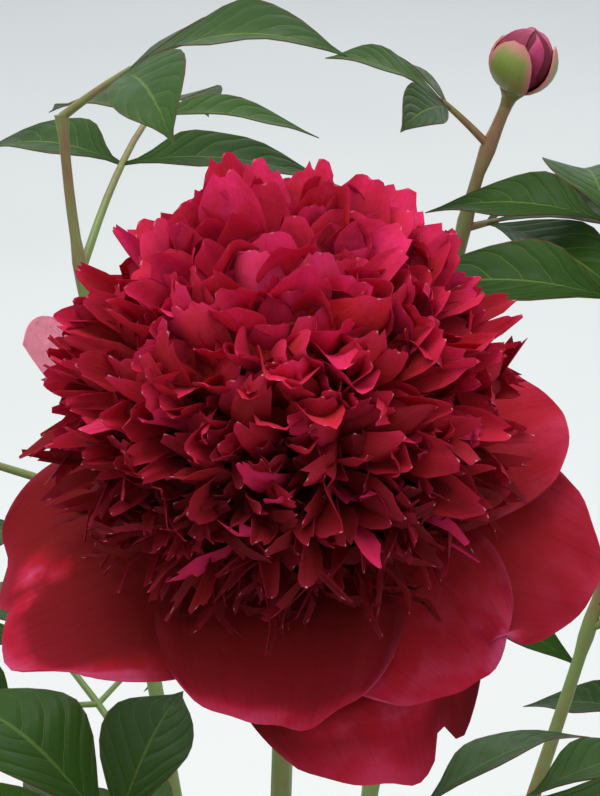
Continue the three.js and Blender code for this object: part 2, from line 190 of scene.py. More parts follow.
def thicken(ob, thickness, second_side=0, rim=0):
    """Gives a sheet its thickness in millimetres. The second side or the rim can take the next material."""
    only(ob)
    solid = ob.modifiers.new("thickness", "SOLIDIFY")
    solid.thickness = thickness * MM
    solid.offset = 0
    solid.material_offset = second_side
    solid.material_offset_rim = rim
    bpy.ops.object.modifier_apply(modifier=solid.name)
    return ob


def soften(ob, angle):
    """Smooth shading, but with every edge sharper than the angle left crisp."""
    only(ob)
    bpy.ops.object.shade_smooth_by_angle(angle=math.radians(angle))
    return ob


def dressed(ob, node):
    """Hangs a finished piece on the plant, so that it moves with it, hides the node it stands for and prints its
    size.
    """
    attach(ob, "root")
    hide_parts(node)
    size = np.ptp(points(ob), axis=0) / MM
    print(ob.name, "-", len(ob.data.polygons), "faces,", " x ".join(f"{c:.0f}" for c in size), "mm")


# %% Helpers for shaping
def mix(a, b, t):
    return a + (b - a) * t


def smooth(x):
    """Rises softly from 0 to 1 while x does."""
    c = np.clip(x, 0, 1)
    return c * c * (3 - 2 * c)


def bell(x, middle, spread):
    return np.exp(-(((x - middle) / spread) ** 2))


def draw(i, k):
    """A repeatable number from 0 to 1, different for each item i and for each of its properties k."""
    x = math.sin(i * 12.9898 + k * 78.233) * 43758.5453
    return x - math.floor(x)


def rows_of(*columns):
    return np.stack(np.broadcast_arrays(*columns), axis=-1)


def cos_sin(degrees):
    return math.cos(math.radians(degrees)), math.sin(math.radians(degrees))


def turned(degrees, a, b):
    """Turns a pair of coordinates anticlockwise."""
    c, s = cos_sin(degrees)
    return a * c - b * s, a * s + b * c


# %% [markdown]
# ## Helpers for materials
#
# A material is a small net of nodes that ends at the shader. `add` makes a node and fills its inputs in
# order, with a number, a colour or another node's output. The methods after it give the nodes used most:
# arithmetic, a soft step between two limits, a blend of two colours, a ramp of colours, and noise.

# %% A material and its nodes
class Finish:
    """A material with its net of nodes. Most methods add a node and give back its output."""

    def __init__(self, name, roughness, gloss=0.5, **settings):
        self.material = bpy.data.materials.new(name)
        self.material.use_nodes = True
        self.tree = self.material.node_tree
        self.shader = self.tree.nodes["Principled BSDF"]
        for socket, value in dict(Roughness=roughness, Specular_IOR_Level=gloss, **settings).items():
            self.shader.inputs[socket.replace("_", " ")].default_value = value

    def plug(self, socket, value):
        if isinstance(value, bpy.types.NodeSocket):
            self.tree.links.new(value, socket)
        elif value is not None:
            socket.default_value = (*value, 1) if socket.type == "RGBA" else value

    def add(self, kind, *inputs, out=0, **settings):
        node = self.tree.nodes.new("ShaderNode" + kind)
        for name, value in settings.items():
            setattr(node, name, value)
        for socket, value in zip(node.inputs, inputs):
            self.plug(socket, value)
        return node.outputs[out]

    def place(self):
        return self.add("TexCoord", out="Object")

    def tone(self):
        return self.add("Attribute", attribute_name="tone", out=2)

    def along_and_across(self):
        """The UV map, how far along and across the blade a point is, and how far from its middle line."""
        uv = self.add("TexCoord", out="UV")
        along = self.add("SeparateXYZ", uv)
        across = along.node.outputs[1]
        return uv, along, across, self.times(self.calc("ABSOLUTE", self.calc("SUBTRACT", across, 0.5)), 2.0)

    def calc(self, operation, a, b=None):
        return self.add("Math", a, b, operation=operation)

    def plus(self, a, b):
        return self.calc("ADD", a, b)

    def times(self, first, *others):
        for other in others:
            first = self.calc("MULTIPLY", first, other)
        return first

    def swing(self, value, by):
        """Turns a value from 0 to 1 into a swing to both sides of nought."""
        return self.times(self.calc("SUBTRACT", value, 0.5), by)

    def step(self, value, low, high, start=0.0, end=1.0):
        """Rises softly from start to end while the value goes from low to high."""
        return self.add("MapRange", value, low, high, start, end, interpolation_type="SMOOTHSTEP")

    def blend(self, share, a, b):
        return self.add("Mix", share, *[None] * 5, a, b, out=2, data_type="RGBA")

    def noise(self, vector, scale, detail=2.0, roughness=0.5):
        return self.add("TexNoise", vector, None, scale, detail, roughness)

    def stretched(self, vector, x, y, z):
        return self.add("Mapping", vector, None, None, (x, y, z))

    def ramp(self, value, *stops):
        """A colour ramp. Each stop is a position and a colour."""
        colour = self.add("ValToRGB", value)
        elements = colour.node.color_ramp.elements
        while len(elements) < len(stops):
            elements.new(0.5)
        for element, (position, stop) in zip(elements, stops):
            element.position, element.color = position, (*stop, 1)
        return colour

    def colour(self, value):
        self.plug(self.shader.inputs["Base Color"], value)

    def bump(self, *layers):
        """Each layer is a height from 0 to 1 and how many millimetres that stands for."""
        normal = None
        for height, depth in layers:
            node = self.tree.nodes.new("ShaderNodeBump")
            for name, value in (("Distance", depth * MM), ("Height", height), ("Normal", normal)):
                self.plug(node.inputs[name], value)
            normal = node.outputs[0]
        self.plug(self.shader.inputs["Normal"], normal)


# %% [markdown]
# ## Floor and light
#
# The plant stands on a plain pale floor in a soft studio light. In the photograph the light comes from the
# open sky: it falls on the crest of the bloom and leaves the lower petals and the hollows dark. One large
# lamp overhead does this, and weaker ones from the sides keep the shadows clear.

# %% Floor
select_none()
bpy.ops.mesh.primitive_plane_add(size=30)
floor = fresh("floor")
pale = Finish("pale floor", 0.8)
mottle = pale.noise(pale.place(), 2.5, 3)
pale.colour(pale.blend(mottle, (0.60, 0.61, 0.58), (0.66, 0.66, 0.63)))
floor.data.materials.append(pale.material)
floor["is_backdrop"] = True
print("floor:", round(floor.dimensions.x), "m wide")

# %% Light
SKY, SKY_STRENGTH = (0.86, 0.92, 1.0, 1), 0.92
MIDDLE_OF_PLANT = Vector((0, -0.05, 0.55))
LAMPS = {  # place, width, power and colour
    "overhead": ((-0.35, 0.10, 2.3), 1.4, 32, (1.0, 0.98, 0.96)),
    "front left": ((-1.6, -2.1, 1.4), 1.8, 4.5, (1, 1, 1)),
    "right": ((2.0, -0.7, 1.2), 1.6, 8, (0.95, 0.98, 1.0)),
    "behind": ((0.4, 2.2, 1.8), 1.6, 10, (1, 1, 1)),
}

bpy.context.scene.view_settings.view_transform = "Standard"  # keeps deep reds as strong as they are
world = bpy.data.worlds.new("soft sky")
bpy.context.scene.world = world
world.use_nodes = True
world.node_tree.nodes["Background"].inputs[0].default_value = SKY
world.node_tree.nodes["Background"].inputs[1].default_value = SKY_STRENGTH

for name, (place, width, power, colour) in LAMPS.items():
    way = MIDDLE_OF_PLANT - Vector(place)
    bpy.ops.object.light_add(type="AREA", location=place, rotation=way.to_track_quat("-Z", "Y").to_euler())
    light = bpy.context.object
    light.name = name
    light.data.size, light.data.energy, light.data.color = width, power, colour
    print("lamp", name, "with", power, "W")

# %% [markdown]
# ## Flat blades to copy from
#
# A petal, a leaflet and a sepal are all thin blades. Each kind starts as a grid one unit long. In edit mode
# its rows are squeezed to the outline of the real thing, and points at the tip are pulled back to make
# notches. The grid's UV map isn't touched by this, so it still says how far along and across a point is,
# and the veins can follow it later.

# %% A blade squeezed to an outline
def blade_master(name, along, outline, across):
    """A flat blade from x = 0 to 1. The outline gives its half width at even steps along it."""
    select_none()
    bpy.ops.mesh.primitive_grid_add(x_subdivisions=along, y_subdivisions=across, size=1, location=(0.5, 0, 0))
    master = fresh(name)
    with editing(master):
        for x in np.arange(along + 1) / along:
            width = float(np.interp(x, np.linspace(0, 1, len(outline)), outline))
            pick(master, lambda p: abs(p.x - x) < 1e-4)
            bpy.ops.transform.resize(value=(1, 2 * width, 1), center_override=(x, 0, 0))
    return master


def round_top(master, shoulder):
    """Bends the square end beyond the shoulder into half a disc, as a rounded petal has."""
    x, y, z = points(master).T
    beyond = np.clip((x - shoulder) / (1 - shoulder), 0, 1)
    rounded = np.where(x > shoulder, shoulder + (1 - shoulder) * beyond * np.sqrt(1 - y**2 / 2), x)
    settle(master, rows_of(rounded, y * np.sqrt(1 - beyond**2 / 2), z), unit=1)


# %% [markdown]
# ## The petals' finish
#
# A dark red peony petal is velvety. It is nearly black at its root, partly its own colour and partly a painted
# shade, deep crimson in its middle and pinker towards its rim, partly its own colour and partly a painted
# sheen, and fine veins fan out along it. The colour ramp runs along the UV map. A soft sheen with a pink tint
# gives the bloom on the skin, and a little light scatters inside, red most of all, so that the folds glow as
# thin petals do. An attribute called tone, one number for each petal, keeps neighbours from having the same
# red, and it also carries painted light and shade: a low tone darkens a petal that stands in shade, a high one
# paints a pink sheen, and the highest paints light shining through a thin petal. The thin cut edge of a petal
# in the ball has a dark finish of its own, a painted shade, because a bright one would be drawn as a pale line
# round every petal.

# %% Velvet for petals
# The dark red after VEIN_DARK is a painted shade that petals of low tone are darkened to.
VEIN_DARK, PAINTED_SHADE_RED = (0.05, 0.0, 0.008), (0.070, 0.006, 0.005)
# The first colour here is painted light shining through a thin petal, for tones over 1.
LIT_THROUGH, GLAND_PINK = (0.88, 0.31, 0.40), (0.70, 0.32, 0.34)


def petal_velvet(
    name, *stops, rim, rim_from, roughness, veins, sheen=0.0, gloss=0.14, glands=0.0, side_rim=0.12, pink_and_sheen=0.35
):
    velvet = Finish(
        name,
        roughness,
        gloss,
        Sheen_Weight=sheen,
        Sheen_Roughness=0.45,
        Sheen_Tint=(1.0, 0.12, 0.36, 1),
        Subsurface_Weight=0.15,
        Subsurface_Radius=(1.0, 0.12, 0.18),
        Subsurface_Scale=0.004,
    )
    blend, step, times = velvet.blend, velvet.step, velvet.times
    uv, along, _, from_rib = velvet.along_and_across()
    place, tone = velvet.place(), velvet.tone()

    # Petals of low tone are darkened to a painted shade, and lively ones take blotches of the rim's pink, a
    # painted sheen
    drift = velvet.noise(place, 55, 2)
    red = velvet.ramp(velvet.plus(along, velvet.swing(drift, 0.35)), *stops)
    sheen_blotch = times(
        step(velvet.noise(place, 90, 3), 0.42, 0.68), step(along, 0.45, 0.95, 0.0, 0.55), step(tone, 0.1, 0.8)
    )
    pinker = velvet.plus(step(tone, 0.5, 1.0, 0.0, pink_and_sheen), sheen_blotch)
    lively = blend(step(tone, 0.0, 0.5), blend(0.9, red, PAINTED_SHADE_RED), blend(pinker, red, rim))

    # Veins along the petal, and a paler rim, partly its own colour and partly a painted sheen
    streak = velvet.noise(velvet.stretched(uv, 2.0, veins, 1), 1, 3, 0.6)
    veined = blend(step(streak, 0.45, 0.75, 0.0, 0.35), lively, blend(0.6, lively, VEIN_DARK))
    edge = times(
        velvet.calc("MAXIMUM", step(along, rim_from, 1.0, 0.0, 0.45), step(from_rib, 0.90, 1.0, 0.0, side_rim)),
        step(drift, 0.3, 0.7, 0.0, 0.9),
        step(along, 0.35, 0.7, 0.0, 0.8),
        step(tone, 0.0, 0.5, 0.2, 1.0),
    )
    # Tones over 1 take a painted light shining through a thin petal.
    finished = blend(step(tone, 1.0, 1.5), blend(edge, veined, rim), LIT_THROUGH)

    if glands:  # a tiny pale dot at the very tip
        from_tip, off_middle = times(velvet.calc("SUBTRACT", 1.0, along), 3.0), times(from_rib, 0.5)
        away = velvet.calc("SQRT", velvet.plus(times(from_tip, from_tip), times(off_middle, off_middle)))
        gland = times(step(away, glands / 2, glands, 1.0, 0.0), step(tone, 0.3, 0.7, 0.6, 0.3))
        finished = blend(gland, finished, GLAND_PINK)
    velvet.colour(finished)
    velvet.bump((streak, 0.30), (velvet.noise(place, 260, 2), 0.45), (drift, 1.4))
    return velvet


# %% Finishes of the ball
ruffle_velvet = petal_velvet(
    "ruffle velvet",
    (0.0, (0.38, 0.030, 0.026)),
    (0.45, (0.34, 0.018, 0.020)),
    (0.75, (0.39, 0.015, 0.021)),
    (1.0, (0.47, 0.015, 0.039)),
    rim=(0.60, 0.020, 0.11),
    rim_from=0.90,
    sheen=0.02,
    roughness=0.6,
    veins=14,
    gloss=0.03,
    glands=0.06,
)
# The cut edge is kept dark, a painted shade, so that it doesn't catch the light as a pale line.
petal_edge = Finish("petal edge", 0.7, 0.02)
edge_mottle = petal_edge.noise(petal_edge.place(), 160, 2)
petal_edge.colour(petal_edge.blend(edge_mottle, (0.14, 0.004, 0.010), (0.30, 0.008, 0.030)))
for finish in (ruffle_velvet, petal_edge):
    print(finish.material.name, "has", len(finish.tree.nodes), "nodes")

# %% [markdown]
# ## The ball of ruffled petals: the cuts
#
# A bomb peony's heart is a ball of petals that were once stamens. Those on the crest are broad with round
# tops, some of them rolled, those in the middle are smaller and wavy, and the lowest are a narrow, ragged
# fringe over the outer petals. Six flat masters are cut here. The next cells curve and place more than a
# thousand copies.

# %% Six flat petals to copy
PETAL_CUTS = {  # faces along and across, where the round top begins, and half widths from root to top
    "broad_petal": (8, 9, 0.62, [0.24, 0.36, 0.52, 0.70, 0.86, 0.96, 1.0, 1.0, 1.0, 1.0]),
    "notched_petal": (8, 10, 0.66, [0.24, 0.34, 0.48, 0.64, 0.80, 0.92, 1.0, 1.0, 1.0, 1.0]),
    "rolled_petal": (6, 6, 0.75, [0.30, 0.40, 0.50, 0.58, 0.64, 0.68, 0.66, 0.60, 0.50]),
    "wavy_petal": (6, 6, 0.66, [0.24, 0.40, 0.60, 0.80, 0.94, 1.0, 1.0, 1.0]),
    "ragged_petal": (5, 3, 0.8, [0.30, 0.40, 0.54, 0.70, 0.88, 1.0, 0.96]),
    "wisp_petal": (7, 2, 0.8, [0.50, 0.60, 0.78, 0.95, 1.0, 0.92, 0.72, 0.36]),
}
NOTCHES = [  # the petal, how far along a notch begins, its place across, and how far its points are moved
    ("notched_petal", 0.9, (0.1, 0.3), -0.06),
    ("notched_petal", 0.9, (-0.6, -0.4), -0.05),
    ("wavy_petal", 0.9, (0.2, 0.4), -0.07),
    ("ragged_petal", 0.9, (0.2, 0.5), -0.09),
    ("ragged_petal", 0.85, (-2.0, -0.6), 0.06),
]

petal_masters = {}
for name, (along, across, shoulder, outline) in PETAL_CUTS.items():
    petal = blade_master(name, along, outline, across)
    round_top(petal, shoulder)
    for cut, beyond, (low, high), moved in NOTCHES:
        if cut == name:
            with editing(petal):
                pick(petal, lambda p: p.x > beyond and low < p.y < high)
                bpy.ops.transform.translate(value=(moved, 0, 0))
    petal_masters[name] = keep_aside(petal, ruffle_velvet, petal_edge)
    print(name, len(petal.data.polygons), "faces, as wide as", round(float(np.ptp(points(petal)[:, 1])), 2))

# %% [markdown]
# ## The ball: where each petal stands
#
# The petals stand on a spiral that turns by the golden angle, as leaves and florets do, which fills the ball
# without rows. Each has three numbers from 0 to 1 that say which part of the ball it belongs to: `small` is 0
# on the crest and 1 below it, `fringe` is 1 towards the lowest rows, and `low` is 1 in the very lowest, which
# lie out over the guard petals. All sizes and bends are blended by these numbers, so that no part has a
# visible border.

# %% The bloom's own frame
BLOOM_SEAT, BLOOM_LEAN = (0, -112, 646), 22


def head_place(seat, lean, side=0):
    """Leads points from a flower head's frame, with z along its axis, to the plant."""
    c, s = cos_sin(lean)
    forward = np.array([[1, 0, 0], [0, c, -s], [0, s, c]])
    c, s = cos_sin(side)
    turn = np.array([[c, 0, s], [0, 1, 0], [-s, 0, c]]) @ forward
    return lambda p: p @ turn.T + np.array(seat)


in_bloom = head_place(BLOOM_SEAT, BLOOM_LEAN)
print("the bloom sits at", BLOOM_SEAT, "mm and leans", BLOOM_LEAN, "degrees to the front")

# %% The place of one petal on the ball
BALL_PETALS, GOLDEN_ANGLE = 1195, 137.508
CROWDING = 0.45  # under a half, the petals stand closer together towards the fringe
WIDEST_ANGLE, LOW_RAISED = 131, 24  # the lowest petal's angle from the axis, and how far the low ones turn up
CREST_BACK = math.radians(16)  # the crest lies a little behind the axis
CREST = np.array([0, math.sin(CREST_BACK), math.cos(CREST_BACK)])
CREST_FORM, SKIRT_FORM = np.array([1.03, 1.03, 0.76]), np.array([1.03, 1.03, 0.92])


def spot_on_ball(i):
    """Where petal i stands, counted from the top down, and the part of the ball that it belongs to."""
    on_ball = WIDEST_ANGLE * ((i + 0.5) / BALL_PETALS) ** CROWDING
    low = float(smooth((on_ball - 96) / 30))
    (up, aside), (c, s) = cos_sin(on_ball - LOW_RAISED * low), cos_sin(GOLDEN_ANGLE * i)
    outward = np.array([aside * c, aside * s, up])
    from_crest = math.degrees(math.acos(np.clip(outward @ CREST, -1, 1)))
    return SimpleNamespace(
        i=i,
        outward=outward,
        around=np.array([-s, c, 0]),
        form=mix(CREST_FORM, SKIRT_FORM, float(smooth((on_ball - 72) / 40))),
        small=float(smooth((from_crest - 32) / 38)),
        fringe=float(smooth((on_ball - 82) / 28)),
        low=low,
    )


def by_part(spot, crest, middle, fringe):
    """A measure that goes over softly from the crest to the middle of the ball and to its fringe."""
    return mix(mix(crest, middle, spot.small), fringe, spot.fringe)


for i in (0, 200, 500, 800, BALL_PETALS - 1):
    spot = spot_on_ball(i)
    print("petal", i, "- small", round(spot.small, 2), "fringe", round(spot.fringe, 2), "low", round(spot.low, 2))

# %% The cut and the size of one petal
BALL_RADIUS, BALL_ROOT = 73, 31
# Tufts of taller petals: the way from the ball's centre, and by how many millimetres they stand out
TUFTS = [
    ((-0.19, 0.72, 0.67), 13.5),
    ((0.26, 0.71, 0.66), 12.0),
    ((0.57, 0.60, 0.56), 13.5),
    ((-0.59, 0.59, 0.55), 7.0),
    ((0.05, -0.55, 0.83), 4.0),
    ((-0.75, -0.35, 0.55), 4.0),
    ((0.62, -0.55, 0.55), 3.5),
]
TUFT_WIDTH = 0.018  # how fast a tuft falls off to its sides


def cut_for(spot):
    """Draws the petal's cut. Each is followed by the draw up to which it is taken."""
    if spot.small < 0.5:
        cuts = {"broad_petal": 0.62, "notched_petal": 0.80, "rolled_petal": 1}
    elif spot.fringe < 0.5:
        cuts = {"wavy_petal": 0.76, "broad_petal": 0.86, "rolled_petal": 1}
    else:
        cuts = {"wisp_petal": mix(0.15, 0.5, spot.low), "ragged_petal": 1}
    return next(cut for cut, up_to in cuts.items() if draw(spot.i, 11) < up_to)


def size_for(spot):
    """The petal's half width, the depth of its root and its reach from there, in millimetres."""
    i, small, fringe, low = spot.i, spot.small, spot.fringe, spot.low
    half_width = mix(by_part(spot, 9.6, 5.6, 2.3), 1.8, low) * mix(0.7, 1.35, draw(i, 2))
    root = BALL_ROOT - 7 * low
    depth = mix(mix(0.80, 0.76, small), mix(1.10, 1.06, small), draw(i, 3) ** 0.7)
    tuft = sum(height * math.exp((spot.outward @ np.array(way) - 1) / TUFT_WIDTH) for way, height in TUFTS)
    reach = (BALL_RADIUS * depth - root) * mix(1, mix(1.16, 0.92, low), fringe) + tuft - 6.5 * (1 - small)
    return half_width, root, reach * mix(1, mix(0.72, 1.2, draw(i, 24)), low)


drawn = [cut_for(spot_on_ball(i)) for i in range(BALL_PETALS)]
print("petals of each cut:", {cut: drawn.count(cut) for cut in PETAL_CUTS})

# %% The tone of one petal, with its painted shade
# Painted shade: the petals that look this way are darkened most, for the shade under the ball's brow.
PAINTED_SHADE_WAY = np.array([0, -0.75, -0.66])  # the petals that look this way are the darkest


def tone_for(spot, rolled):
    """Painted shade: darker down the ball, and darker still under its brow, where the real bloom is in shade.
    Here and there one is paler pink, partly its own pale side and partly a painted highlight.
    """
    i, small, fringe, low = spot.i, spot.small, spot.fringe, spot.low
    if (small > 0.5 or rolled) and low < 0.4 and draw(i, 23) < mix(0.07, 0.035, fringe):
        return mix(0.85, 1.08, draw(i, 28))
    painted_shade = max(float(smooth((spot.outward @ PAINTED_SHADE_WAY) / 0.8)), low)
    return mix(0.5, 1.05, draw(i, 17)) * mix(1, 0.48, small) * mix(1, 0.5, fringe) * mix(1, 0.22, painted_shade)


# %% [markdown]
# ## The ball: how each petal is bent
#
# The middle line of a petal leans out, bows and curls at its tip. Its angle is drawn first and added up
# along the petal, so that the petal keeps its length. Across that line the petal is cupped, waves along its
# margins and ripples at its top. The petals on the crest lean back a little and show their faces to the
# front. Those under its brow and in the fringe stand in its shade on the real bloom, and that shade is
# painted on them as a darker tone.

# %% The bends of one petal
def ways_across(spot, x):
    """The ways to a petal's side and to its back. They turn about its length, more towards its tip."""
    twist = (draw(spot.i, 1) - 0.5) * by_part(spot, 1.2, 2.8, 2.4)
    twist = (twist + (draw(spot.i, 25) - 0.5) * mix(0.5, 3.2, spot.fringe) * x**1.5)[:, None]
    facing = mix(0.65, 0.0, spot.small)  # the crest's petals turn their faces a little to the front
    level = spot.around * (1 - facing) + np.array([1.0 if spot.around[0] >= 0 else -1.0, 0, 0]) * facing
    level -= spot.outward * (level @ spot.outward)
    level /= np.linalg.norm(level)
    slope = np.cross(level, spot.outward)
    return level * np.cos(twist) + slope * np.sin(twist), slope * np.cos(twist) - level * np.sin(twist)


def middle_line(spot):
    """The middle line of a petal one unit long: how far along, out and back it is, and its angle there."""
    i, small, fringe, low = spot.i, spot.small, spot.fringe, spot.low
    middle = small * (1 - fringe)
    leans = mix(-0.32, 0.16, draw(i, 4)) * mix(1, 1.4, small) - 0.14 * fringe - 0.16 * middle
    bows = mix(-0.65, 0.35, draw(i, 5)) * mix(1, 1.3, small) - 0.5 * fringe - 0.2 * low - 0.22 * middle
    curls = mix(-1.1, 1.0, draw(i, 16)) * by_part(spot, 0.8, 1.0, 1.5) * mix(1, 1.6, low) - 0.3 * fringe
    u = np.linspace(0, 1, 41)
    angle = leans + bows * u + curls * smooth((u - 0.55) / 0.45)
    steps = (part[1:] + part[:-1] for part in (np.cos(angle), np.sin(angle)))
    out, back = (np.concatenate([[0], np.cumsum(step * u[1] / 2)]) for step in steps)
    return u, out, back, angle


def ruffled_face(spot, x, y, half_width, rolled):
    """How far the face rises off its middle line: it is cupped, waved at its margins and rippled at its top."""
    i = spot.i
    cup = mix(0.8, 1.2, draw(i, 6)) if rolled else mix(0.25, 0.75, draw(i, 6)) + 0.3 * spot.fringe
    wave = np.sin(x * mix(5, 10, draw(i, 12)) + 6 * draw(i, 13)) * y * np.abs(y)
    ripple = np.sin(y * mix(3.5, 7, draw(i, 14)) + 6 * draw(i, 15)) * smooth((x - 0.4) / 0.5)
    ruffle = mix(1.7, 1.15, spot.small) * mix(1, 0.8, spot.fringe) * (wave + 0.8 * ripple) * x
    return ruffle - cup * half_width * y**2 * smooth(1.6 * x)


# %% Lay one petal
BALL_CENTRE, BALL_DROP = 47, 31
GUARD_RISE, GUARD_SAG = 0.16, 0.0012  # how the guard petals rise from the post, and how they sag
CURLED_WAY, CURL_RISE = np.array([-0.87, 0.50]), 29  # where a guard petal curls up, and how far
GUARD_SPAN = 92  # the reach at which a guard petal's droop or curl is given


def lay_ruffle(i):
    """Chooses, curves and places petal i, counted from the top down."""
    spot = spot_on_ball(i)
    cut = cut_for(spot)
    rolled = cut == "rolled_petal"
    petal = copy_of(petal_masters[cut])
    x, y, _ = points(petal).T
    half_width, root, reach = size_for(spot)
    side, back = ways_across(spot, x)
    u, *lines, angles = middle_line(spot)
    angle = np.interp(x, u, angles)

    pointed = mix(-0.04, 0.12, draw(i, 19)) * (0.5 - np.abs(y - 0.3 * (draw(i, 20) - 0.5)))
    jagged = np.sin(17 * y + 40 * draw(i, 8)) * 0.6 + np.sin(31 * y + 40 * draw(i, 18))
    teeth = mix(0.010, mix(0.026, 0.045, spot.small), draw(i, 22))
    x = x + (pointed + teeth * jagged) * smooth((x - 0.7) / 0.3)

    out, sweep = (np.interp(x, u, line) for line in lines)
    rise = ruffled_face(spot, x, y, half_width, rolled)
    sway = mix(0.4, 4.0, spot.fringe) * (draw(i, 26) - 0.5) * np.sin(x * mix(2.5, 6, draw(i, 27)))
    places = (
        (spot.outward * spot.form) * (root + out * reach - np.sin(angle) * rise)[:, None]
        + back * (sweep * reach + np.cos(angle) * rise)[:, None]
        + side * (half_width * y + sway)[:, None]
        + np.array([0, 0, BALL_CENTRE - BALL_DROP * spot.low])
    )

    # The lowest lie on the guard petals, also where one of those curls up.
    distance = np.hypot(places[:, 0], places[:, 1])
    over_curl = smooth((places[:, :2] @ CURLED_WAY / np.maximum(distance, 1) - 0.90) / 0.04)
    ground = 1 + GUARD_RISE * distance - GUARD_SAG * distance**2
    ground += over_curl * CURL_RISE * (distance / GUARD_SPAN) ** 4
    places[:, 2] = np.maximum(places[:, 2], ground)
    return toned(settle(petal, in_bloom(places)), tone_for(spot, rolled))


# %% Lay all the petals of the ball
PETAL_THICKNESS = 0.2
ruffles = join([lay_ruffle(i) for i in range(BALL_PETALS)], "petaloid_ball")
soften(thicken(ruffles, PETAL_THICKNESS, rim=1), 65)
triangles = len(ruffles.data.loops) - 2 * len(ruffles.data.polygons)
print("petals of the ball:", BALL_PETALS, "with", triangles, "triangles")

# %% [markdown]
# ## The heart of the ball
#
# Between the petals one looks into dark hollows. A small globe inside the ball closes them. It stands on a
# broad collar that narrows to the post at the end of the flower's stem. The globe is a sphere whose lower
# faces are flattened, then extruded down twice, the second time to a smaller disc.

# %% The dark heart and its collar
HEART_CENTRE, HEART_RADIUS, HEART_SQUAT = 52, 38, 0.82
FLAT_FROM, COLLAR_HEIGHT, TAPER_HEIGHT, TAPER = -24, 27, 10, 0.42

heart_red = Finish("heart red", 0.9, 0.05)
grain = heart_red.noise(heart_red.place(), 240, 3)
heart_red.colour(heart_red.blend(grain, (0.34, 0.020, 0.018), (0.46, 0.028, 0.026)))
heart_red.bump((grain, 0.8))

select_none()
bpy.ops.mesh.primitive_uv_sphere_add(segments=32, ring_count=20, radius=HEART_RADIUS)
heart = fresh("heart")
with editing(heart):
    pick(heart, lambda p: p.z < FLAT_FROM)
    bpy.ops.transform.resize(value=(1, 1, 0), center_override=(0, 0, FLAT_FROM))
    for height in (COLLAR_HEIGHT, TAPER_HEIGHT):
        bpy.ops.mesh.extrude_region_move(TRANSFORM_OT_translate={"value": (0, 0, -height)})
    bpy.ops.transform.resize(value=(TAPER, TAPER, 1), center_override=(0, 0, 0))
p = points(heart)
globe = p[:, 2] > FLAT_FROM - COLLAR_HEIGHT + 2
p[globe] *= 1 + 0.03 * np.sin(p[globe] @ np.array([[0.5, 0.3, 0.2]]).T)  # a few soft dents
p[:, 2] *= HEART_SQUAT
settle(heart, in_bloom(p + np.array([0, 0, HEART_CENTRE])))
heart.data.materials.append(heart_red.material)
dressed(join([ruffles, toned(heart)], "petaloid_ball"), "petaloid_ball")

# %% [markdown]
# ## The guard petals
#
# Nine broad petals lie in layers under the ball, each cupped near its root and drooping at its tip. They
# are smooth and deep red, with a paler pink rim where they curve up to the light. One fine grid serves for
# all of them. Its points follow the same formula as the solid petals, and a light ruffle is added near
# the rim. Each petal has a tone of its own that paints how much light or shade falls on it. Two short lists
# then give the petals their own faces: where one curls up and a pink sheen is painted on it, and on one
# petal the light shining through it, and where its margin runs out in a lobe or back in a notch.

# %% Finish and master of the guard petals
# The ramp is near black at the root, partly its own colour and partly a painted shade under the ball.
guard_velvet = petal_velvet(
    "guard velvet",
    (0.0, (0.10, 0.006, 0.004)),
    (0.4, (0.17, 0.008, 0.006)),
    (0.8, (0.28, 0.009, 0.015)),
    (1.0, (0.38, 0.011, 0.032)),
    rim=(0.48, 0.060, 0.140),
    rim_from=0.93,
    roughness=0.62,
    veins=34,
    gloss=0.02,
    side_rim=0.6,
    pink_and_sheen=0.9,
)
guard_blade = keep_aside(blade_master("guard_blade", 24, [1, 1], 20), guard_velvet)
print("guard petal:", len(guard_blade.data.polygons), "faces")

# %% The measures of the guard petals
# The last column, the tone of its red, paints how much light or shade falls on each petal.
GUARDS = [  # heading, length, half width, droop of the tip, layer, tone of its red
    (-67, 92, 42, 33, 0, 0.0),
    (22, 97, 37, 1, 3, 0.36),
    (-11, 102, 46, 8, 1, 0.30),
    (102, 92, 41, 4, 1, 0.30),
    (204, 96, 50, 9, 1, 0.17),
    (-50, 90, 38, 8, 2, 0.42),
    (62, 90, 38, 5, 0, 0.30),
    (150, 94.5, 27, -28, 2, 0.50),
    (-92, 88, 38, 8, 3, 0.20),
]
GUARD_ROOT, GUARD_BASE, GUARD_LAYER, GUARD_SHOULDER = 6.35, -8, 2.4, 0.5
LOPSIDED, SLIMMER = 7, 0.58  # this petal is slimmer by this share on the side that faces the front

# Painted sheen: where a petal curls up and a pinker sheen is painted on it, and in the last row the light
# that shines through a thin tip. The columns: the petal, the place along and across, how far the patch
# spreads each way, the lift in millimetres, and how pink it is
PATCHES = [
    (4, 0.86, 0.95, 0.26, 0.15, 4.0, 0.9),
    (4, 0.86, -0.22, 0.06, 0.09, 0.2, 0.80),
    (4, 0.93, -0.02, 0.04, 0.05, 0.3, 0.82),
    (4, 0.77, -0.12, 0.04, 0.05, 0.1, 0.65),
    (4, 1.00, 0.45, 0.05, 0.35, 2.0, 0.85),
    (2, 0.82, -1.00, 0.05, 0.14, 7.0, 1.0),
    (0, 1.00, -0.30, 0.18, 0.80, 2.0, 0.46),
    (0, 0.83, 0.00, 0.06, 0.75, 0.0, 0.62),
    (5, 1.00, 0.45, 0.07, 0.22, 4.0, 0.95),
    (8, 1.00, -0.10, 0.06, 0.90, 1.5, 0.62),
    (7, 1.00, 0.00, 0.50, 1.20, 0.0, 1.5),
]

# Where a margin runs out in a lobe or back in a notch: the petal, the place across, its spread and how far
LOBES = [
    (4, 0.45, 0.32, 6.5),
    (4, -0.60, 0.28, -4.5),
    (4, 0.02, 0.07, -3.0),
    (0, 0.55, 0.09, -5.0),
    (0, 0.80, 0.14, 1.5),
]


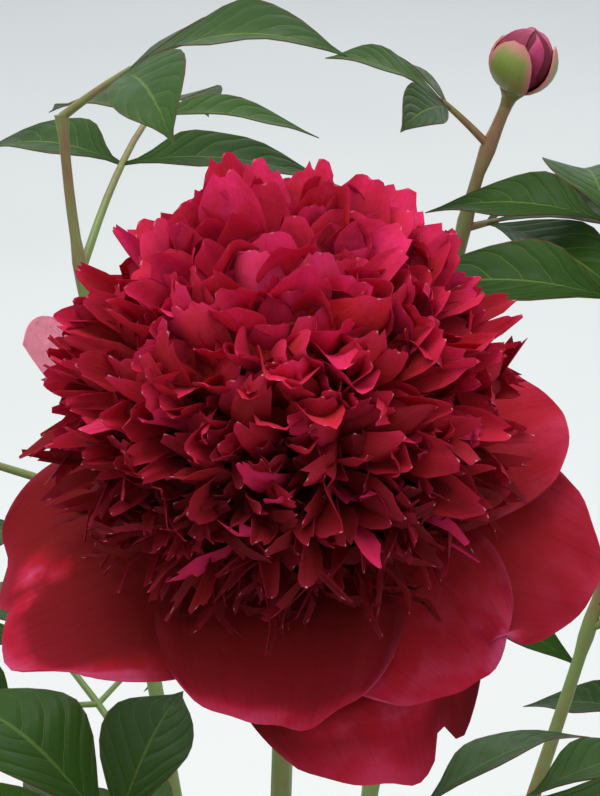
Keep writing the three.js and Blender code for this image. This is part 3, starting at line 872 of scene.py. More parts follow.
# %% Lay the guard petals
def lay_guard(k, heading, length, half_width, droop, layer, red):
    petal = copy_of(guard_blade)
    t, s, _ = points(petal).T
    if k == LOPSIDED:
        s = s * (1 - SLIMMER * smooth(2.5 * s))
    phase = 6.3 * draw(k, 21)

    # The outline, with a round top beyond the shoulder
    beyond = np.clip((t - GUARD_SHOULDER) / (1 - GUARD_SHOULDER), 0, 1)
    rounded = np.minimum(t, GUARD_SHOULDER) + (1 - GUARD_SHOULDER) * beyond * np.sqrt(1 - s**2 / 2)
    scallop = 1 - 0.008 * (np.sin(5 * s + phase) + 0.7 * np.sin(9 * s + 2 * phase)) * beyond
    reach = GUARD_ROOT + (length - GUARD_ROOT) * rounded * scallop
    reach = reach + sum(out * bell(s, aside, spread) for n, aside, spread, out in LOBES if n == k) * beyond**2
    across = half_width * s * np.minimum(0.1 + 1.9 * t, 1) * np.sqrt(1 - beyond**2 / 2)

    # The height: it rises, sags and droops, with pleats along it and a ruffle round its edge
    distance = np.hypot(reach, across)
    height = GUARD_BASE + GUARD_LAYER * layer + GUARD_RISE * distance - GUARD_SAG * distance**2
    height = height - droop * (distance / GUARD_SPAN) ** 4
    edge = np.maximum(smooth((t - 0.72) / 0.28), smooth((np.abs(s) - 0.7) / 0.3) * smooth((t - 0.3) / 0.3))
    ruffle = np.sin(6 * s + 5 * t + phase) + 0.6 * np.sin(11 * s - 7 * t + 2.3 * phase)
    pleats = np.sin(7 * s + phase) + 0.6 * np.sin(13 * s + 1.7 * phase)
    height = height + 0.9 * edge * ruffle + 0.5 * edge**2 + 0.45 * pleats * smooth((t - 0.2) / 0.5)
    # The tone starts at the petal's painted light or shade and is raised to the painted pink sheen of its
    # patches.
    pink_and_sheen = np.full(len(t), float(red))
    for n, along, aside, spread_along, spread_aside, lift, sheen_pink in PATCHES:
        if n == k:
            weight = bell(t, along, spread_along) * bell(s, aside, spread_aside)
            height, pink_and_sheen = height + lift * weight, np.maximum(pink_and_sheen, mix(red, sheen_pink, weight))

    toned(settle(petal, in_bloom(rows_of(*turned(heading, reach, across), height))), pink_and_sheen)
    name = f"guard_petal_{k + 1}"
    dressed(soften(thicken(join([petal], name), 0.6), 60), name)


for k, guard in enumerate(GUARDS):
    lay_guard(k, *guard)

# %% [markdown]
# ## Stems and leaves: the finishes
#
# A peony leaflet is deep green and glossy above, with a pale rib and side veins that arch towards the tip,
# and dull and paler beneath. The veins are drawn by arithmetic on the UV map: a row of even lines, bent by
# the distance from the rib. The same lines make the skin swell a little between the veins. The stems
# are green, flushed with red-brown, and faintly ridged.

# %% Leaf green above and beneath
SIDE_VEINS, MARGIN_RED = 7.5, (0.13, 0.035, 0.020)


def leaf_skin(name, dark, light, vein, roughness, gloss, raised):
    skin = Finish(name, roughness, gloss)
    blend, noise, plus, step, times = skin.blend, skin.noise, skin.plus, skin.step, skin.times
    uv, along, across, from_rib = skin.along_and_across()
    place = skin.place()

    # The veins: the rib, the side veins that leave it in turn on either side, and a fine net between them
    arch = plus(times(from_rib, 0.17), times(from_rib, from_rib, 0.13))
    other_side = times(skin.calc("GREATER_THAN", across, 0.5), 0.5)
    count = plus(times(skin.calc("SUBTRACT", along, arch), SIDE_VEINS), other_side)
    between = skin.calc("PINGPONG", plus(count, skin.swing(noise(place, 60, 2), 0.55)), 0.5)
    side_vein = times(step(between, 0.016, 0.042, 1.0, 0.0), step(from_rib, 0.75, 1.0, 1.0, 0.15))
    rib = step(from_rib, 0.018, 0.055, 1.0, 0.0)
    net = skin.add("TexVoronoi", skin.stretched(uv, 26, 11, 1), feature="DISTANCE_TO_EDGE")
    net_vein = step(net, 0.012, 0.055, 0.6, 0.0)

    patch = plus(times(noise(place, 22, 3), 0.7), times(skin.tone(), 0.4))
    green = blend(step(patch, 0.2, 0.85), dark, light)
    green = blend(net_vein, green, blend(0.35, green, vein))
    green = blend(times(side_vein, 0.7), green, vein)
    green = blend(times(rib, 0.9), green, vein)
    skin.colour(blend(step(from_rib, 0.955, 1.0, 0.0, 0.7), green, MARGIN_RED))
    uneven = step(noise(place, 90, 3), 0.3, 0.7, roughness - 0.06, roughness + 0.1)
    skin.plug(skin.shader.inputs["Roughness"], uneven)
    skin.bump(
        (step(between, 0.0, 0.32), 0.28 * raised),
        (skin.calc("MAXIMUM", side_vein, rib), -0.3 * raised),
        (net_vein, -0.12 * raised),
        (noise(place, 500, 2), 0.05),
    )
    return skin


greens_above = (0.010, 0.036, 0.002), (0.026, 0.076, 0.005), (0.085, 0.145, 0.020)
greens_beneath = (0.060, 0.115, 0.040), (0.11, 0.185, 0.070), (0.20, 0.28, 0.12)
leaf_above = leaf_skin("leaf above", *greens_above, roughness=0.40, gloss=0.12, raised=1.0)
leaf_beneath = leaf_skin("leaf beneath", *greens_beneath, roughness=0.62, gloss=0.25, raised=-0.8)

# %% Green bark of the stems
stem_skin = Finish("stem skin", 0.42, 0.4)
place = stem_skin.place()
streaks = stem_skin.noise(stem_skin.stretched(place, 420, 420, 26), 1, 3)
flush = stem_skin.plus(stem_skin.times(stem_skin.noise(place, 16, 2), 0.75), stem_skin.times(streaks, 0.35))
green = stem_skin.blend(streaks, (0.10, 0.17, 0.035), (0.19, 0.26, 0.07))
stem_skin.colour(stem_skin.blend(stem_skin.step(flush, 0.46, 0.72, 0.0, 0.85), green, (0.20, 0.060, 0.035)))
stem_skin.bump((streaks, 0.35), (stem_skin.noise(place, 700, 2), 0.05))
for skin in (leaf_above, leaf_beneath, stem_skin):
    print(skin.material.name, "has", len(skin.tree.nodes), "nodes")

# %% [markdown]
# ## Stems and leaves: the masters
#
# A stem and a leaf's stalks are rods. One rod is made from a cylinder, subdivided along its length, and its
# copies are led along curves. The leaflet is a grid squeezed to a lance shape with a slender root and a
# sharp tip.

# %% A rod and a leaflet to copy
def rod_master(name, sides, rings):
    """A rod with radius 1 from z = 0 to 1, with even rings along it."""
    select_none()
    bpy.ops.mesh.primitive_cylinder_add(vertices=sides, radius=1, depth=1, location=(0, 0, 0.5))
    rod = fresh(name)
    with editing(rod):
        bpy.ops.mesh.select_mode(type="EDGE")
        mesh = bmesh.from_edit_mesh(rod.data)
        for e in mesh.edges:
            e.select_set(abs(e.verts[0].co.z - e.verts[1].co.z) > 0.5)
        bmesh.update_edit_mesh(rod.data)
        bpy.ops.mesh.subdivide(number_cuts=rings - 1)
        bpy.ops.mesh.select_mode(type="VERT")
    return keep_aside(rod, stem_skin)


long_rod = rod_master("long_rod", 14, 48)
short_rod = rod_master("short_rod", 8, 8)

LANCE = [0.05, 0.11, 0.30, 0.55, 0.78, 0.93, 1.0, 0.98, 0.90, 0.76, 0.56, 0.33, 0.12, 0.0]
leaflet = blade_master("leaflet", 13, LANCE, 6)
with editing(leaflet):
    pick(leaflet, lambda p: p.x > 0.999)
    bpy.ops.mesh.merge(type="CENTER")
keep_aside(leaflet, leaf_above, leaf_beneath)
for master in (long_rod, short_rod, leaflet):
    print(master.name, "has", len(master.data.polygons), "faces")

# %% A smooth curve through points
CURVE_STEPS = 60


class SmoothCurve:
    """A smooth curve through points, measured along its length, as the solid stems follow."""

    def __init__(self, knots):
        knots = [np.array(k, float) for k in knots]
        ends = [2 * knots[0] - knots[1], *knots, 2 * knots[-1] - knots[-2]]
        u = np.linspace(0, 1, CURVE_STEPS)[:, None]
        parts = []
        for p0, p1, p2, p3 in zip(ends, ends[1:], ends[2:], ends[3:]):
            d0, d1, d2 = (math.sqrt(math.dist(a, b)) for a, b in ((p0, p1), (p1, p2), (p2, p3)))
            m1 = ((p1 - p0) / d0 - (p2 - p0) / (d0 + d1) + (p2 - p1) / d1) * d1
            m2 = ((p2 - p1) / d1 - (p3 - p1) / (d1 + d2) + (p3 - p2) / d2) * d1
            bend, swing = -3 * p1 + 3 * p2 - 2 * m1 - m2, 2 * p1 - 2 * p2 + m1 + m2
            parts.append(p1 + m1 * u + bend * u**2 + swing * u**3)
        self.line = np.concatenate([parts[0]] + [p[1:] for p in parts[1:]])
        steps = np.linalg.norm(np.diff(self.line, axis=0), axis=1)
        self.far = np.concatenate([[0], np.cumsum(steps)])
        self.length = self.far[-1]

    def at(self, share):
        """The point at this share of the length."""
        return np.stack([np.interp(np.asarray(share) * self.length, self.far, c) for c in self.line.T], axis=-1)

    def at_height(self, z):
        return np.array([np.interp(z, self.line[:, 2], c) for c in self.line.T])


# %% A rod along a curve
KNOT_LENGTH, RIDGES = 7, 5


def lay_rod(master, curve, foot, tip, ridged=0.0, knots=()):
    """Leads a copy of a rod along a curve. It tapers from foot to tip and swells at the knots."""
    rod = copy_of(master)
    x, y, z = points(rod).T
    levels = np.unique(np.round(z, 4))
    ahead = curve.at(np.minimum(levels + 0.01, 1)) - curve.at(np.maximum(levels - 0.01, 0))
    ahead /= np.linalg.norm(ahead, axis=1)[:, None]

    # Two ways across, carried on from ring to ring, so that the rod doesn't turn about itself
    first, sides = np.cross(ahead[0], [0.31, 0.95, 0.05]), []
    for way in ahead:
        first = first - way * (first @ way)
        first /= np.linalg.norm(first)
        sides.append(first)
    sides = np.array(sides)
    others = np.cross(ahead, sides)

    radius, angle = mix(foot, tip, z), np.arctan2(y, x)
    for share, swell in knots:
        radius = radius + swell * bell(z * curve.length, share * curve.length, KNOT_LENGTH)
    radius = radius * np.hypot(x, y) * (1 + ridged * np.cos(RIDGES * angle))
    ring = np.searchsorted(levels, np.round(z, 4))
    across = sides[ring] * (radius * np.cos(angle))[:, None] + others[ring] * (radius * np.sin(angle))[:, None]
    return toned(settle(rod, curve.at(levels)[ring] + across))


# %% [markdown]
# ## Compound leaves
#
# A peony's leaf is divided: its stalk forks in three, and on the lower leaves each fork ends in three
# leaflets again. All points of one leaf lie on one arched surface that rises from the stem and sags
# outwards. Each leaflet is folded a little along its rib, and its margins wave.

# %% The arched surface of a leaf, and a leaflet on it
SAG_ALONG, SAG_ASIDE = 0.0021, 0.0016
LEAFLET_SLIMNESS, FOLD, FOLD_WIDTH = 0.19, 0.3, 1.5


def leaf_surface(origin, heading, rise, size):
    c, s = cos_sin(rise)
    out, side = (np.array([*turned(heading, *way), 0]) for way in ((1, 0), (0, 1)))

    def at(a, b, lift=0.0):
        a, b, lift = np.broadcast_arrays(np.asarray(a, float), b, lift)
        height = a * s - SAG_ALONG / size * a**2 - SAG_ASIDE / size * b**2 + lift
        return origin + a[..., None] * c * out + b[..., None] * side + height[..., None] * np.array([0, 0, 1.0])

    return at


def lay_leaflet(surface, root, turn, length, seed):
    blade = copy_of(leaflet)
    t, s, _ = points(blade).T
    x, y = length * t, LEAFLET_SLIMNESS * length * s
    fold = FOLD * (np.sqrt(y**2 + FOLD_WIDTH**2) - FOLD_WIDTH)
    wave = np.sin(mix(7, 12, draw(seed, 32)) * t + 6.3 * draw(seed, 31) + 1.5 * np.sign(s))
    wave *= s**2 * 0.014 * length * smooth(t / 0.3)
    twist = (draw(seed, 33) - 0.5) * 0.22 * y * t
    sway = (draw(seed, 34) - 0.5) * 0.07 * length * t**2
    a, b = turned(turn, x, y + sway)
    settle(blade, surface(root[0] + a, root[1] + b, fold - SAG_ASIDE * x**2 + wave + twist))
    return toned(blade, draw(seed, 35))


# %% Stalks, and leaflets in threes
SUNK = 4  # how far a leaflet's root is sunk in its stalk
PETIOLE, PETIOLULE = (2.0, 1.3), (1.4, 1.1)  # the radii of a leaf's own stalk and of its branches
SIDEWAYS, SIDE_SIZE = 52, 0.82  # the two side leaflets of a trio: their turn, and their share of the length


def lay_stalk(surface, start, turn, length, thickness):
    """A stalk, and the place near its end where the leaflets begin."""
    c, s = cos_sin(turn)
    along = lambda d: (start[0] + d * c, start[1] + d * s)
    curve = SmoothCurve([surface(*along(length * u)) for u in (0, 0.35, 0.7, 1)])
    return lay_rod(short_rod, curve, *thickness), along(length - SUNK)


def lay_trio(surface, end, turn, length, seed):
    c, s = cos_sin(turn)
    before = (end[0] - 1.2 * c, end[1] - 1.2 * s)
    return [
        lay_leaflet(surface, end, turn, length, seed),
        lay_leaflet(surface, before, turn + SIDEWAYS, SIDE_SIZE * length, seed + 1),
        lay_leaflet(surface, before, turn - SIDEWAYS, SIDE_SIZE * length, seed + 2),
    ]


# %% A whole leaf
def lay_leaf(origin, heading, size, rise, leaflets, stalk=None, seed=0):
    """The stalks and the leaflets of one leaf of three, five or nine leaflets."""
    surface = leaf_surface(origin, heading, rise, size)
    reach = (stalk or (38 if leaflets == 3 else 114)) * size
    main, end = lay_stalk(surface, (0, 0), 0, reach, PETIOLE)
    rods, blades = [main], lay_trio(surface, end, 0, 98 * size, seed)
    fork = (64 * size, 0)
    for n, way in enumerate((-1, 1) if leaflets > 3 else ()):
        if leaflets == 9:
            branch, end = lay_stalk(surface, fork, 64 * way, 36 * size, PETIOLULE)
            rods.append(branch)
            blades += lay_trio(surface, end, 64 * way, 74 * size, seed + 10 + 5 * n)
        else:
            blades.append(lay_leaflet(surface, fork, 60 * way, 96 * size, seed + 10 + n))
    return rods, blades


# %% [markdown]
# ## The seven stems
#
# Each stem follows the path of its solid, from 45 mm under the soil to its head or its last leaf. The list
# gives the path above the soil, then the leaves: the height they leave the stem at, where they point, their
# size and rise, and their number of leaflets. Two leaves have a stalk of another length, given last. A
# head's place, lean and side lean are followed by how far under it the stem ends, and how thick.

# %% Paths and leaves of the stems
BUD_SEAT, BUD_LEAN, BUD_SIDE = (95, 190, 686), 4, 18
STEM_FOOT, STEM_TIP, BURIED = 4.5, 2.0, 45

STEMS = {
    "flower_stem": dict(
        path=[(-4, -22, 255), (-6, -40, 370), (-2, -72, 510), (0, -96, 596)],
        head=(BLOOM_SEAT, BLOOM_LEAN, 0, 20, 3.5),
        leaves=[(378, 168, 1.13, 50, 9), (472, -20, 1.08, 39, 5), (545, 100, 0.86, 30, 3)],
    ),
    "bud_stem": dict(
        path=[(22, 34, 255), (34, 84, 390), (58, 146, 540), (79, 182, 643)],
        head=(BUD_SEAT, BUD_LEAN, BUD_SIDE, 8, 2.45),
        leaves=[(412, 95, 1.19, 42, 9), (627, 6, 1.1, 14, 3, 14), (661, 182, 0.8, 48, 3)],
    ),
    "leafy_stem_1": dict(
        path=[(-30, 34, 255), (-46, 70, 380), (-70, 116, 520), (-90, 150, 640), (-94, 160, 684)],
        leaves=[
            (387, 130, 1.19, 40, 9),
            (520, 195, 1.19, 36, 5),
            (620, 75, 1.05, 34, 5),
            (683, -14, 1.25, 40, 3, 32),
        ],
    ),
    "leafy_stem_2": dict(
        path=[(52, 8, 255), (84, 30, 370), (122, 56, 500), (140, 68, 572)],
        leaves=[(400, 20, 1.19, 34, 9), (500, -20, 1.19, 36, 5), (571, 96, 1.15, 54, 5)],
    ),
    "leafy_stem_3": dict(
        path=[(-56, -4, 255), (-96, 2, 360), (-138, 8, 470), (-162, 12, 546)],
        leaves=[(378, 186, 1.19, 35, 9), (480, 120, 1.19, 36, 5), (545, 205, 1.15, 52, 5)],
    ),
    "leafy_stem_4": dict(
        path=[(36, -48, 255), (84, -84, 370), (140, -124, 480), (174, -148, 550), (182, -152, 580)],
        leaves=[(380, 300, 1.19, 32, 9), (480, 10, 1.19, 34, 5), (579, 176, 1.0, 50, 3)],
    ),
    "leafy_stem_5": dict(
        path=[(-34, -50, 255), (-44, -108, 370), (-42, -150, 464), (-36, -166, 516)],
        leaves=[(389, 248, 1.19, 36, 9), (460, 190, 1.19, 30, 5), (515, 140, 1.15, 48, 3)],
    ),
}

print("leaves on each stem:", {name: len(stem["leaves"]) for name, stem in STEMS.items()})

# %% A stem with its leaves
def stem_curve(path, head=None):
    """The stem's curve, which starts in the soil, and its radius at the tip."""
    path = [np.array(p, float) for p in path]
    lean = (path[1] - path[0]) / np.linalg.norm(path[1] - path[0])
    path.insert(0, path[0] - BURIED * lean)
    if head:
        *place, under, tip = head
        path.append(head_place(*place)(np.array([0, 0, -under], float)))
    return SmoothCurve(path), tip if head else STEM_TIP


def dress_stem(name, *more):
    leaves = STEMS[name]["leaves"]
    curve, tip = stem_curve(STEMS[name]["path"], STEMS[name].get("head"))
    knots = [(np.interp(leaf[0], curve.line[:, 2], curve.far) / curve.length, 1.1) for leaf in leaves]
    rods, blades = [lay_rod(long_rod, curve, STEM_FOOT, tip, 0.035, knots)], []
    for k, (height, *leaf) in enumerate(leaves):
        seed = 100 * len(name) + 40 * k + int(curve.length)
        more_rods, more_blades = lay_leaf(curve.at_height(height), *leaf, seed=seed)
        rods += more_rods
        blades += more_blades
    leaflets = thicken(join(blades, name + "_leaflets"), 0.45, second_side=1)
    dressed(soften(join([leaflets, *rods, *more], name), 60), name)


# %% Dress the five leafy stems
for name in STEMS:
    if name.startswith("leafy"):
        dress_stem(name)

# %% [markdown]
# ## Under the bloom
#
# The flower's stem ends in a swelling with five green sepals, and a short post that the petals stand
# round. The post is a circle extruded ring by ring, wider and narrower. The sepals are copies of a round
# blade, cupped under the guard petals.

# %% Ring by ring, and the sepals' finish
def turned_master(name, profile, sides):
    """Starts with a circle and extrudes it ring by ring up a profile of radius and height."""
    select_none()
    radius, z = profile[0]
    bpy.ops.mesh.primitive_circle_add(vertices=sides, radius=radius, fill_type="NGON", location=(0, 0, z))
    ob = fresh(name)
    with editing(ob):
        bpy.ops.mesh.select_all(action="SELECT")
        for wider, higher in profile[1:]:
            bpy.ops.mesh.extrude_region_move(TRANSFORM_OT_translate={"value": (0, 0, higher - z)})
            bpy.ops.transform.resize(value=(wider / radius, wider / radius, 1), center_override=(0, 0, higher))
            radius, z = wider, higher
        bpy.ops.mesh.select_all(action="SELECT")
        bpy.ops.mesh.normals_make_consistent(inside=False)
    return ob


def turned_on_stem(name, profile, sides, place):
    """A swelling at the end of a stem, in the frame of its flower head."""
    ob = turned_master(name, profile, sides)
    ob.data.materials.append(stem_skin.material)
    return toned(settle(ob, place(points(ob))))


sepal_skin = Finish("sepal skin", 0.45, 0.4)
uv, along, _, from_rib = sepal_skin.along_and_across()
lines = sepal_skin.noise(sepal_skin.stretched(uv, 1.5, 22, 1), 1, 3)
green = sepal_skin.blend(lines, (0.11, 0.16, 0.022), (0.21, 0.25, 0.045))
brownish = sepal_skin.step(sepal_skin.noise(sepal_skin.place(), 70, 2), 0.42, 0.7, 0.0, 0.5)
green = sepal_skin.blend(brownish, green, (0.28, 0.15, 0.06))
rosy = sepal_skin.calc("MAXIMUM", sepal_skin.step(from_rib, 0.62, 1.0), sepal_skin.step(along, 0.72, 1.0))
sepal_skin.colour(sepal_skin.blend(sepal_skin.times(rosy, 0.85), green, (0.46, 0.13, 0.13)))
sepal_skin.bump((lines, 0.25))
print("sepal skin has", len(sepal_skin.tree.nodes), "nodes")

# %% Swelling, post and sepals of the bloom
SWELLING = [(4.6, -22), (6.4, -18.6), (8.2, -15), (8.3, -13.2), (7.2, -11.6), (6, -10.6)]
POST = [(6, -4), (6, 2), (6, 7.4), (5.4, 8)]
BLOOM_SEPALS, SEPAL_ROOT, SEPAL_LENGTH, SEPAL_HALF_WIDTH = 5, 4, 24, 8.2
SEPAL_THICKNESS = 0.9

post = turned_on_stem("post", SWELLING + POST, 20, in_bloom)
sepal = blade_master("sepal", 9, [0.62, 0.70, 0.84, 0.95, 1.0, 1.0, 0.95, 0.84, 0.62, 0.24], 6)
keep_aside(sepal, sepal_skin)


def lay_bloom_sepal(i):
    blade = copy_of(sepal)
    t, s, _ = points(blade).T
    r, across = SEPAL_ROOT + SEPAL_LENGTH * t, SEPAL_HALF_WIDTH * s
    z = -12.5 - 0.012 * r**2 + 0.04 * across**2 + 0.25 * np.sin(5 * s + 7 * t + i)
    return toned(settle(blade, in_bloom(rows_of(*turned(360 / BLOOM_SEPALS * i + 18, r, across), z))))


bloom_sepals = join([lay_bloom_sepal(i) for i in range(BLOOM_SEPALS)], "bloom_sepals")
dress_stem("flower_stem", post, thicken(bloom_sepals, SEPAL_THICKNESS))

# %% [markdown]
# ## The bud
#
# The bud is a globe 3 cm across. Its petals are furled: each is a shell that wraps a part of the globe, with
# one margin free over the next. Four cupped sepals hold it, yellow-green with a rosy margin.

# %% Furled petals of the bud
in_bud = head_place(BUD_SEAT, BUD_LEAN, BUD_SIDE)
BUD_RADIUS, BUD_HEIGHT, GAP = 12.6, 13.2, 0.35
BUD_PETALS, BUD_TURN, WRAP = 6, 144, 66
bud_red = petal_velvet(
    "bud red",
    (0.0, (0.13, 0.010, 0.030)),
    (0.4, (0.22, 0.014, 0.055)),
    (0.8, (0.38, 0.030, 0.105)),
    (1.0, (0.52, 0.09, 0.19)),
    rim=(0.60, 0.22, 0.30),
    rim_from=0.9,
    sheen=0.05,
    roughness=0.5,
    veins=22,
)
furl = keep_aside(blade_master("furl", 16, [1, 1], 14), bud_red)


def lay_furled_petal(k):
    blade = copy_of(furl)
    t, s, _ = points(blade).T
    polar = np.radians(mix(6, 176, t))
    wrap = math.radians(WRAP) * s * (1 - 0.25 * smooth((t - 0.7) / 0.3))
    turn = math.radians(BUD_TURN * k + 20) + wrap + 0.5 * t
    free = smooth((s - 0.45) / 0.55) * smooth((t - 0.2) / 0.3)
    radius = 0.97 - 0.004 * k + 0.055 * free + 0.02 * np.sin(3 * s + k)
    r = BUD_RADIUS * radius * np.sin(polar) * (1 - 0.05 * smooth((t - 0.8) / 0.2))
    z = BUD_HEIGHT * (1 - radius * np.cos(polar)) + GAP
    return toned(settle(blade, in_bud(rows_of(r * np.cos(turn), r * np.sin(turn), z))), draw(k, 41))


bud = join([lay_furled_petal(k) for k in range(BUD_PETALS)], "bud_petals")
dressed(soften(thicken(bud, 0.5), 60), "bud_petals")

# %% Sepals and seat of the bud
BUD_SEPALS = [(236, 128, 45), (352, 130, 38), (60, 96, 38), (140, 108, 40)]  # heading, top and spread
BUD_POST = [(2.6, -12), (2.8, -8), (3.4, -5), (4.6, -3), (5.6, -1.6), (5.2, -0.6), (3.8, 0)]
CLEAR = 1.9  # how far off the bud's globe its sepals start


def lay_bud_sepal(heading, top, spread):
    blade = copy_of(sepal)
    t, s, _ = points(blade).T
    polar = np.radians(mix(12, top, t))
    turn = math.radians(heading) + math.radians(spread) * s / np.maximum(np.sin(polar), 0.55)
    clear = CLEAR - smooth((t - 0.55) / 0.45) + 0.2 * s**2
    r = (BUD_RADIUS + clear) * np.sin(polar)
    z = BUD_HEIGHT + GAP - (BUD_HEIGHT + clear) * np.cos(polar)
    return toned(settle(blade, in_bud(rows_of(r * np.cos(turn), r * np.sin(turn), z))))


bud_sepals = join([lay_bud_sepal(*spec) for spec in BUD_SEPALS], "bud_sepals")
bud_seat = turned_on_stem("bud_seat", BUD_POST, 16, in_bud)
dress_stem("bud_stem", bud_seat, thicken(bud_sepals, SEPAL_THICKNESS))

# %% [markdown]
# ## The soil
#
# The pot is filled with dark, crumbly potting soil. Its body is a cylinder that widens upwards, with the top
# face inset ring by ring and then pushed up and down into gentle lumps. Crumbs and flakes of bark, copies of
# two small stones, lie on it.

# %% Finish of the soil
soil_brown = Finish("potting soil", 0.95, 0.2)
place = soil_brown.place()
clod = soil_brown.add("TexVoronoi", place, None, 210.0)
fine = soil_brown.noise(place, 480, 4, 0.65)
browns = (0.30, (0.010, 0.006, 0.004)), (0.52, (0.040, 0.023, 0.013)), (0.75, (0.095, 0.058, 0.034))
brown = soil_brown.ramp(fine, *browns)
soil_brown.colour(soil_brown.blend(soil_brown.times(soil_brown.tone(), 0.75), brown, (0.15, 0.075, 0.035)))
soil_brown.bump((clod, 1.6), (fine, 1.2))
print("potting soil has", len(soil_brown.tree.nodes), "nodes")

# %% Body of the soil
SOIL_TOP, SOIL_BOTTOM, RELIEF, ROOM = 258, 12.35, 3.4, 0.7
POT_FOOT, POT_MOUTH, POT_HEIGHT, POT_WALL = 108, 150, 290, 10
INSETS, INSET = 22, 5.8


def pot_inside(z):
    return mix(POT_FOOT, POT_MOUTH, z / POT_HEIGHT) - POT_WALL


def soil_height(x, y):
    lumps = np.sin(0.11 * x + 1) * np.cos(0.13 * y) + 0.6 * np.sin(0.31 * x - 0.17 * y)
    return SOIL_TOP + RELIEF * lumps * smooth((pot_inside(SOIL_TOP) - np.hypot(x, y)) / 40)


SOIL_EDGE = pot_inside(SOIL_TOP) - ROOM
soil = turned_master("soil", [(pot_inside(SOIL_BOTTOM) - ROOM, SOIL_BOTTOM), (SOIL_EDGE, SOIL_TOP)], 96)
with editing(soil):
    pick(soil, lambda p: p.z > SOIL_TOP - 0.01)
    for _ in range(INSETS):
        bpy.ops.mesh.inset(thickness=INSET)
x, y, z = points(soil).T
fine_lumps = 0.9 * np.sin(0.9 * x + 2 * np.sin(0.31 * y)) * np.sin(0.83 * y + 1.7 * np.sin(0.27 * x))
inner = smooth((SOIL_EDGE - np.hypot(x, y)) / 12)
settle(soil, rows_of(x, y, np.where(z > SOIL_TOP - 0.01, soil_height(x, y) + fine_lumps * inner, z)))
soil.data.materials.append(soil_brown.material)
print("soil:", len(toned(soil).data.polygons), "faces,", round(SOIL_EDGE), "mm to its edge")

# %% A crumb and a flake of bark to copy
select_none()
bpy.ops.mesh.primitive_ico_sphere_add(subdivisions=2, radius=1)
crumb = fresh("crumb")
with editing(crumb):
    pick(crumb, lambda p: p.x > 0.4 and p.y > 0)
    bpy.ops.transform.translate(value=(0.25, -0.15, 0.1))
    pick(crumb, lambda p: p.z > 0.6)
    bpy.ops.transform.resize(value=(0.6, 0.9, 1), center_override=(0, 0, 0.8))
keep_aside(crumb, soil_brown)

bpy.ops.mesh.primitive_cube_add(size=2)
flake = fresh("flake")
with editing(flake):
    bpy.ops.mesh.select_all(action="SELECT")
    bpy.ops.mesh.subdivide(number_cuts=1)
    pick(flake, lambda p: p.x > 0.9)
    bpy.ops.transform.resize(value=(1, 0.5, 0.7), center_override=(1, 0.2, 0))
    pick(flake, lambda p: p.x < -0.9)
    bpy.ops.transform.resize(value=(1, 0.8, 0.5), center_override=(-1, -0.3, 0.3))
keep_aside(flake, soil_brown)

# %% Crumbs and bark on the soil
CRUMBS, CRUMB_TURN = 420, math.degrees(2.39996)  # the crumbs, too, lie on a spiral of the golden angle
FULL_TURN = math.degrees(6.283)
BARK_FROM = 0.86  # the draw from which a bit is a flake of bark


def scatter(i):
    """One crumb or flake of bark, turned and sunk a little in the soil."""
    if draw(i, 51) > BARK_FROM:
        bit, tone = copy_of(flake), 0.35 + 0.65 * draw(i, 60)
        size = np.array([mix(3, 6.5, draw(i, 52)), mix(1.6, 3, draw(i, 53)), 0.9])
    else:
        bit, tone = copy_of(crumb), 0.35 * draw(i, 60)
        size = mix(0.9, 2.7, draw(i, 54) ** 2.5) * np.array([1, mix(0.7, 1, draw(i, 55)), 0.75])
    a, b, c = (points(bit) * size).T
    a, c = turned(math.degrees((draw(i, 57) - 0.5) * 0.6), a, c)
    a, b = turned(FULL_TURN * draw(i, 56), a, b)
    x, y = turned(CRUMB_TURN * i, (SOIL_EDGE - 8) * math.sqrt((i + 0.5) / CRUMBS), 0)
    x, y = x + 4 * (draw(i, 58) - 0.5), y + 4 * (draw(i, 59) - 0.5)
    return toned(settle(bit, rows_of(a + x, b + y, c + float(soil_height(x, y)) + 0.5)), tone)


bits = join([scatter(i) for i in range(CRUMBS)], "crumbs")
dressed(soften(join([soil, bits], "soil"), 40), "soil")

# %% [markdown]
# ## The clay pot
#
# The pot is plain terracotta: a tapering wall, a thick rim and four small holes in its floor. A potter turns
# it on a wheel. Here a circle is extruded ring by ring up the outside, over the rim and down the inside. A
# Bevel modifier rounds its edges, and a Boolean modifier cuts the holes. The clay is dull and grainy, marked
# by fine turning lines, with a bloom of lime where damp has dried.

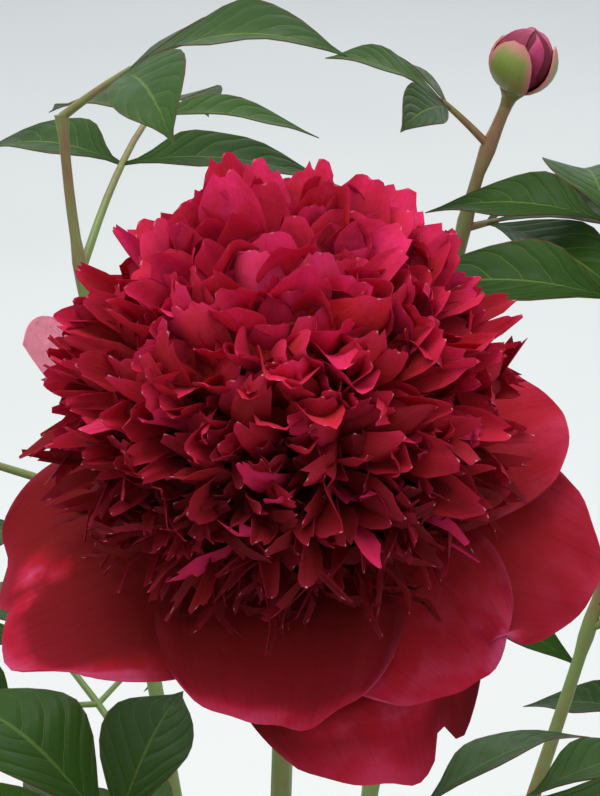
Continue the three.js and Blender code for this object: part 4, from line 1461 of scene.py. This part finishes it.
# %% Terracotta
clay = Finish("terracotta", 0.88, 0.25)
blend, noise, step, times = clay.blend, clay.noise, clay.step, clay.times
place = clay.place()
height = clay.add("SeparateXYZ", place, out=2)
broad_tone = noise(place, 9, 4)
grain = noise(place, 900, 3, 0.7)
red_clay = blend(step(broad_tone, 0.3, 0.7), (0.42, 0.155, 0.075), (0.54, 0.235, 0.125))
red_clay = blend(step(grain, 0.58, 0.75, 0.0, 0.5), red_clay, (0.25, 0.09, 0.05))
under_rim = times(step(height, 0.15, 0.245), step(height, 0.25, 0.30, 1.0, 0.4))
damp = clay.calc("MAXIMUM", step(height, 0.0, 0.11, 1.0, 0.0), under_rim)
lime = times(step(noise(clay.stretched(place, 1, 1, 0.55), 22, 5, 0.6), 0.47, 0.68), damp)
clay.colour(blend(times(lime, 0.5), red_clay, (0.66, 0.55, 0.47)))
clay.bump((noise(clay.stretched(place, 3, 3, 420), 1, 2), 0.5), (grain, 0.22), (broad_tone, 0.8))
print("terracotta has", len(clay.tree.nodes), "nodes")

# %% The pot, ring by ring
OUTSIDE = [(108, 0), (127, 123), (146, 246), (158, 248), (160, 266.5), (162, 285), (158, 290)]
INSIDE = [(140, 290), (119.9, 151), (99.74, 12)]
HOLES, HOLE_RADIUS, HOLES_OUT = 4, 7, 55
ROUNDING = 1.6

pot = turned_master("pot", OUTSIDE + INSIDE, 96)
only(pot)
edges = pot.modifiers.new("rounded edges", "BEVEL")
edges.width, edges.segments, edges.limit_method, edges.angle_limit = ROUNDING, 3, "ANGLE", math.radians(30)
bpy.ops.object.modifier_apply(modifier=edges.name)

for k in range(HOLES):
    c, s = cos_sin(45 + 90 * k)
    select_none()
    place = (HOLES_OUT * c, HOLES_OUT * s, 6)
    bpy.ops.mesh.primitive_cylinder_add(vertices=32, radius=HOLE_RADIUS, depth=40, location=place)
    drill = bpy.context.object
    only(pot)
    hole = pot.modifiers.new("drainage hole", "BOOLEAN")
    hole.object, hole.operation, hole.solver = drill, "DIFFERENCE", "EXACT"
    bpy.ops.object.modifier_apply(modifier=hole.name)
    bpy.data.objects.remove(drill)
settle(pot, points(pot))
pot.data.materials.append(clay.material)
dressed(soften(pot, 40), "pot")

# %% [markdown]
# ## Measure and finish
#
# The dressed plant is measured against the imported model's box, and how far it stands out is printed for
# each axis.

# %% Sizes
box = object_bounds()
for axis, name in enumerate("XYZ"):
    lower, higher = (cad_box[0][axis] - box[0][axis]) / MM, (box[1][axis] - cad_box[1][axis]) / MM
    print(name, "lower by", round(lower, 1), "mm, higher by", round(higher, 1), "mm")
